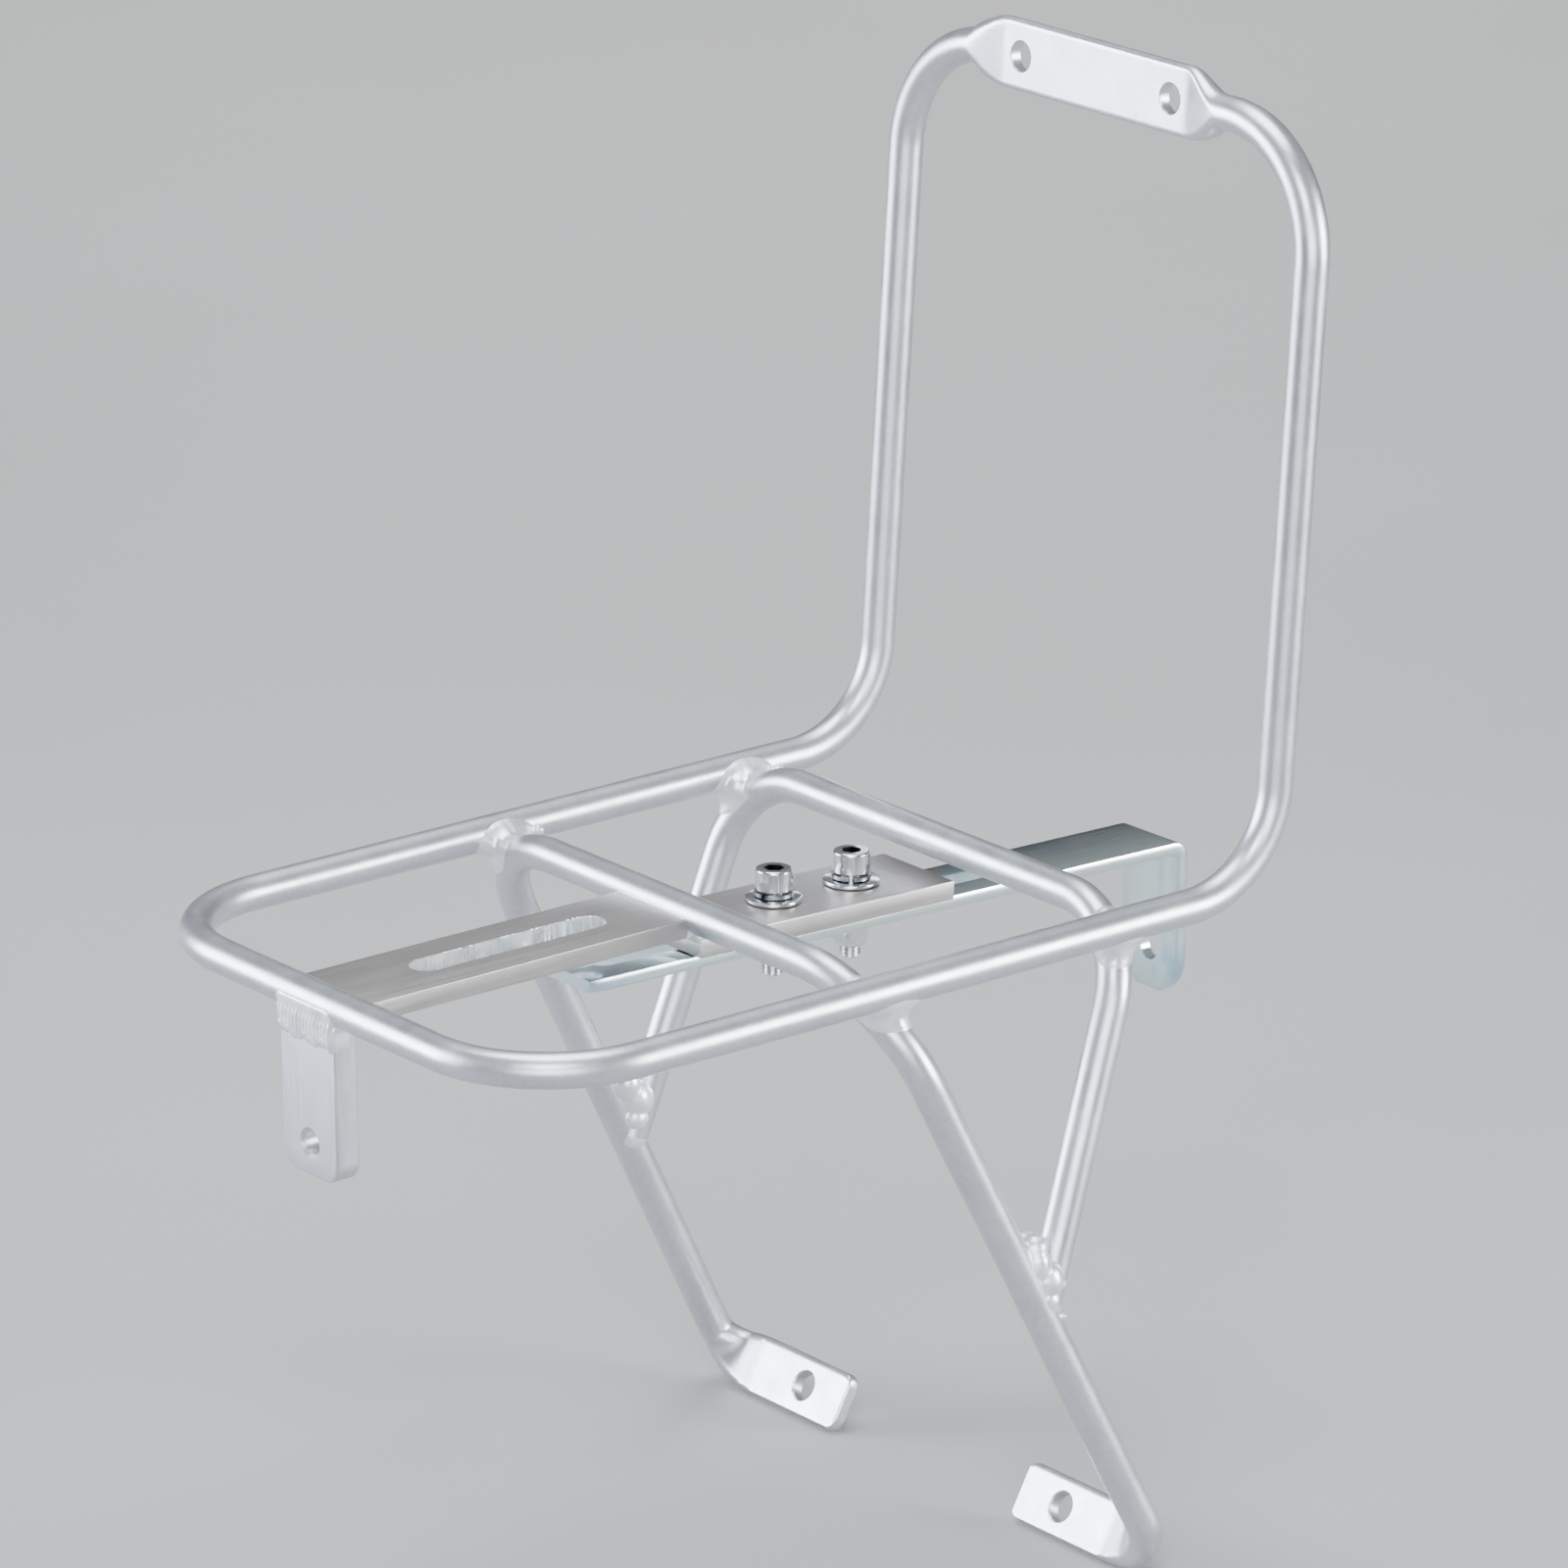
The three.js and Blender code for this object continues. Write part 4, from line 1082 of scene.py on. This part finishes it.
def strut_joint(name, side, node, seed):
    """The strut's foot: puddles laid one on the other down both faces of the crotch."""

    def spot(down, off_x, out):
        at = limb_point(LEG, side, down).lerp(limb_point(STRUT, side, down), 0.5)
        return at + Vector((off_x, side * out, 0))

    field = around(spot(74, 0, 0), 14.5)
    skin = np.minimum(field.rod(LEG_ROUTE), field.rod(STRUT_ROUTE)) + SKIN_DEPTH
    puddles = None
    for face in (1, -1):
        for k, (down, off_x, out, radii) in enumerate(STRUT_PUDDLES):
            lean = Matrix.Rotation(-0.3 + 0.25 * math.sin(2.1 * k + seed * face), 4, "Y")
            drop = field.ball(spot(down, off_x, face * out), radii, lean)
            q = field.p - np.array(spot(down - radii[2] * 0.5, off_x - 1.0, face * (out + 2.0)))
            drop = drop + 0.02 * np.sin(np.linalg.norm(q, axis=-1) * 5.0)
            puddles = drop if puddles is None else blend(puddles, drop, 0.25)[0]
    value, _ = blend(skin, puddles, 1.2)
    for down, off_x, out, radius in STRUT_BEADS:
        value = np.minimum(value, field.ball(spot(down, off_x, out), (radius, radius, radius * 1.2)))
    weld(name, field, value + field.wave(0.08, seed), node)


# Each drop standing on a rail joint: x, distance from the middle of the rack, height, and radius.
OUTER_DROPS = {"near": [], "far": [(105.3, 66.3, -0.9, 1.5)]}
INNER_DROPS = {"near": [], "far": [(174.3, 66.3, -1.1, 1.4), (161.5, 65.2, -2.2, 2.9)]}

for side, word in ((-1, "near"), (1, "far")):
    for name, limb, route, node, seed, drops in (
        ("outer_joint", LEG, LEG_ROUTE, "weld_rail_front", 0.4, OUTER_DROPS),
        ("inner_joint", STRUT, STRUT_ROUTE, "weld_rail_rear", 2.2, INNER_DROPS),
    ):
        rail_joint(f"{name}_{word}", side, limb, route, f"{node}_{word}", seed + side, drops[word])
    strut_joint(f"strut_joint_{word}", side, f"weld_strut_{word}", 1.1 * side)


def tab_weld():
    """A broad rippled bead from the outer bar's front down onto the tab, wrapping round its sides."""
    field = Field((-8.0, MIDLINE_Y - 14.0, -11.0), (1.0, MIDLINE_Y + 14.0, 3.0), 0.24)
    y0, y1 = MIDLINE_Y - TAB["width"] / 2, MIDLINE_Y + TAB["width"] / 2
    plate = field.box((-2.9, y0 + 0.1, TAB["bottom"]), (2.9, y1 - 0.1, -1))
    skin = np.minimum(field.rod(MAIN_ROUTE), plate) + SKIN_DEPTH
    x, y, z = (field.p[..., k] for k in range(3))
    droop = 0.35 * np.sin(y * 0.9 + 0.5) + 0.2 * np.sin(y * 2.3)
    # The bead's front leaves the bar where the bar faces forward and falls straight to the tab.
    fall = np.clip((-0.3 - z) / 8.6, 0, 1)
    front = -3.84 - 0.15 * fall + 0.4 * fall**3
    ends = np.abs(y - MIDLINE_Y) - 10.4 + 0.8 * np.abs(fall - 0.5)
    inside = blend(blend(x - front, z + 9.0 + droop, 1.6)[0], -ends, 1.6)[0]
    bead = -blend(inside, 0.2 - z, 0.8)[0]
    phase = (y + 0.3 * z + 0.05 * (z + 3) ** 2) / 1.3
    bead = bead + ripples(phase, np.clip(fall * 3, 0, 1) * 0.625, 0.26) + field.wave(0.06, 0.8)
    value, _ = blend(skin, bead, 1.2)
    weld("tab_fillet_outer", field, value, "weld_tab_outer")


def clamp_box(field):
    """Distance to the clamp plate."""
    return field.box((x0, -half, -PLATE_T), (x1, half, 0), CLAMP)


def front_box(field):
    """Distance to the slotted front plate."""
    low_corner = (FRONT_PLATE_FROM, near_y, FRONT_PLATE_TOP - PLATE_T)
    return field.box(low_corner, (plate_end, far_y, FRONT_PLATE_TOP))


def cross_fillet(name, node, centre, reach, bar, route, size, seed):
    """A fillet across the midline, between a cross rod and the flat bar that meets it."""
    low = (centre[0] - reach, MIDLINE_Y - 15, centre[1] - reach)
    high = (centre[0] + reach, MIDLINE_Y + 15, centre[1] + reach)
    field = Field(low, high, 0.3)
    value, fillet = blend(field.rod(route), bar(field), size)
    y = field.p[..., 1]
    value = value + ripples(y / 1.2 + 0.2 * np.sin(y * 0.9 + seed), fillet, 0.2)
    value = value + field.wave(0.15, seed) * fillet + sink(fillet)
    out = np.hypot(field.p[..., 0] - centre[0], field.p[..., 2] - centre[1])
    ends = np.abs(y - MIDLINE_Y) - 12.0
    value = np.maximum(value, np.maximum(out - reach + 0.7, ends))
    weld(name, field, value, node)


def inner_bead():
    """The rippled bead behind the tab, under the front plate's end."""
    x, z, radius, length, seed = 4.4, -4.7, 2.6, 19.5, 1.0
    sides, rings = 28, []
    steps = round(length / 0.22)
    for i in range(steps + 1):
        y = -length / 2 + length * i / steps
        past_end = max(0.0, (abs(y) - length / 2 + radius) / radius)
        close = math.sqrt(max(0.003, 1 - past_end**2))
        wander = 0.12 * noise.noise(Vector((y * 0.25, seed, 2)))
        ring = []
        for j in range(sides):
            a = 2 * math.pi * j / sides
            scale = (y / 1.15 + 0.35 * math.cos(a + 0.8)) % 1.0
            uneven = 0.05 * noise.noise(Vector((y * 0.4, math.cos(a), seed)))
            r = radius * close * (1 + 0.09 * (1 - scale) ** 1.5 + uneven)
            ring.append(Vector((x + wander + r * math.cos(a), MIDLINE_Y + y, z + r * 0.82 * math.sin(a))))
        rings.append(ring)
    make("tab_fillet_inner", *loft(rings), WELD, replaces=["weld_tab_inner"], smooth_below=50)


tab_weld()
inner_bead()
leg_x, strut_x = LEG["cross_x"], STRUT["cross_x"]
for name, node, centre, reach, bar, route, size, seed in (
    ("bar_end_fillet", "weld_plate_cross", (leg_x - 3.6, -2.6), 4.6, front_box, LEG_ROUTE, 3.4, 2.0),
    ("clamp_fillet_front", "weld_clamp_front", (leg_x + 2.4, -3.6), 5.0, clamp_box, LEG_ROUTE, 3.4, 3.0),
    ("clamp_fillet_rear", "weld_clamp_rear", (strut_x - 2.6, -5.0), 5.6, clamp_box, STRUT_ROUTE, 4.4, 4.0),
):
    cross_fillet(name, node, centre, reach, bar, route, size, seed)


# ---- floor, light and camera ----


def floor():
    n = Nodes("pale_floor")
    cloud = n.noise(3, 3, 0.5)
    n.colour(n.ramp(cloud, [(0.3, (0.37, 0.37, 0.365)), (0.7, (0.39, 0.39, 0.39))]))
    n.shader.inputs["Roughness"].default_value = 0.75
    mesh = bpy.data.meshes.new("floor")
    size, z = 30.0, cad_low.z - 0.0005
    corners = [(p.x, p.y, z) for p in rectangle(-size, size, -size, size)]
    mesh.from_pydata(corners, [], [(0, 1, 2, 3)])
    mesh.materials.append(n.material)
    plane = placed("floor", mesh)


def area_light(name, place, target, size, power, colour, spread):
    """A rectangle that shines from place towards target; spread, in degrees, narrows its beam."""
    light = bpy.data.lights.new(name, "AREA")
    light.shape = "RECTANGLE"
    light.size, light.size_y = size
    light.energy = power
    light.color = colour
    light.spread = math.radians(spread)
    lamp = placed(name, light)
    lamp.location = place
    lamp.rotation_euler = (Vector(place) - Vector(target)).to_track_quat("Z", "Y").to_euler()


def world():
    """A room that is bright and cool above and dimmer and warmer towards the horizon."""
    studio = bpy.data.worlds.new("studio")
    studio.use_nodes = True
    tree = studio.node_tree
    background = tree.nodes["Background"]
    background.inputs["Strength"].default_value = 0.35
    kinds = ("TexCoord", "SeparateXYZ", "ValToRGB")
    coords, split, ramp = (tree.nodes.new("ShaderNode" + kind) for kind in kinds)
    horizon, zenith = ramp.color_ramp.elements
    horizon.position, horizon.color = 0.0, (0.36, 0.33, 0.32, 1)
    zenith.position, zenith.color = 0.75, (1.0, 1.04, 1.1, 1)
    tree.links.new(coords.outputs["Generated"], split.inputs["Vector"])
    tree.links.new(split.outputs["Z"], ramp.inputs["Fac"])
    tree.links.new(ramp.outputs["Color"], background.inputs["Color"])
    bpy.context.scene.world = studio


def camera():
    data = bpy.data.cameras.new("camera")
    data.lens = 205.3
    data.sensor_width = 36
    data.clip_start, data.clip_end = 0.05, 100
    view = placed("camera", data)
    right = Vector((0.78618, -0.61791, -0.01025))
    back = Vector((-0.58396, -0.74821, 0.31491))
    turn = Matrix((right, back.cross(right), back)).transposed()
    view.matrix_world = Matrix.Translation(metres((-1029.18, -1477.72, 644.88))) @ turn.to_4x4()
    bpy.context.scene.camera = view


floor()
world()
cool, cooler, white = (0.93, 0.97, 1.0), (0.84, 0.92, 1.0), (0.98, 0.98, 1.0)
rack_middle = (0, 0, 0.2)
for name, place, target, size, power, colour, spread in (
    ("key_overhead", (0.0, 0.15, 1.35), (0, 0, 0.15), (0.7, 0.7), 17, cool, 180),
    ("floor_behind", (0.9, 1.2, 1.5), (0.9, 1.2, 0), (1.2, 1.2), 12, (0.97, 0.98, 1.0), 90),
    ("left_wall", (-1.05, 1.0, 0.45), rack_middle, (1.1, 0.9), 8, cooler, 60),
    ("right_wall", (1.0, -1.2, 0.4), rack_middle, (0.7, 0.8), 6, white, 60),
    ("upper_front", (-0.9, -0.95, 1.25), rack_middle, (0.5, 0.5), 2, cool, 60),
    ("behind_camera", (-1.35, -1.7, 0.5), rack_middle, (2.2, 0.9), 7, (0.88, 0.94, 1.0), 60),
):
    area_light(name, place, target, size, power, colour, spread)
camera()
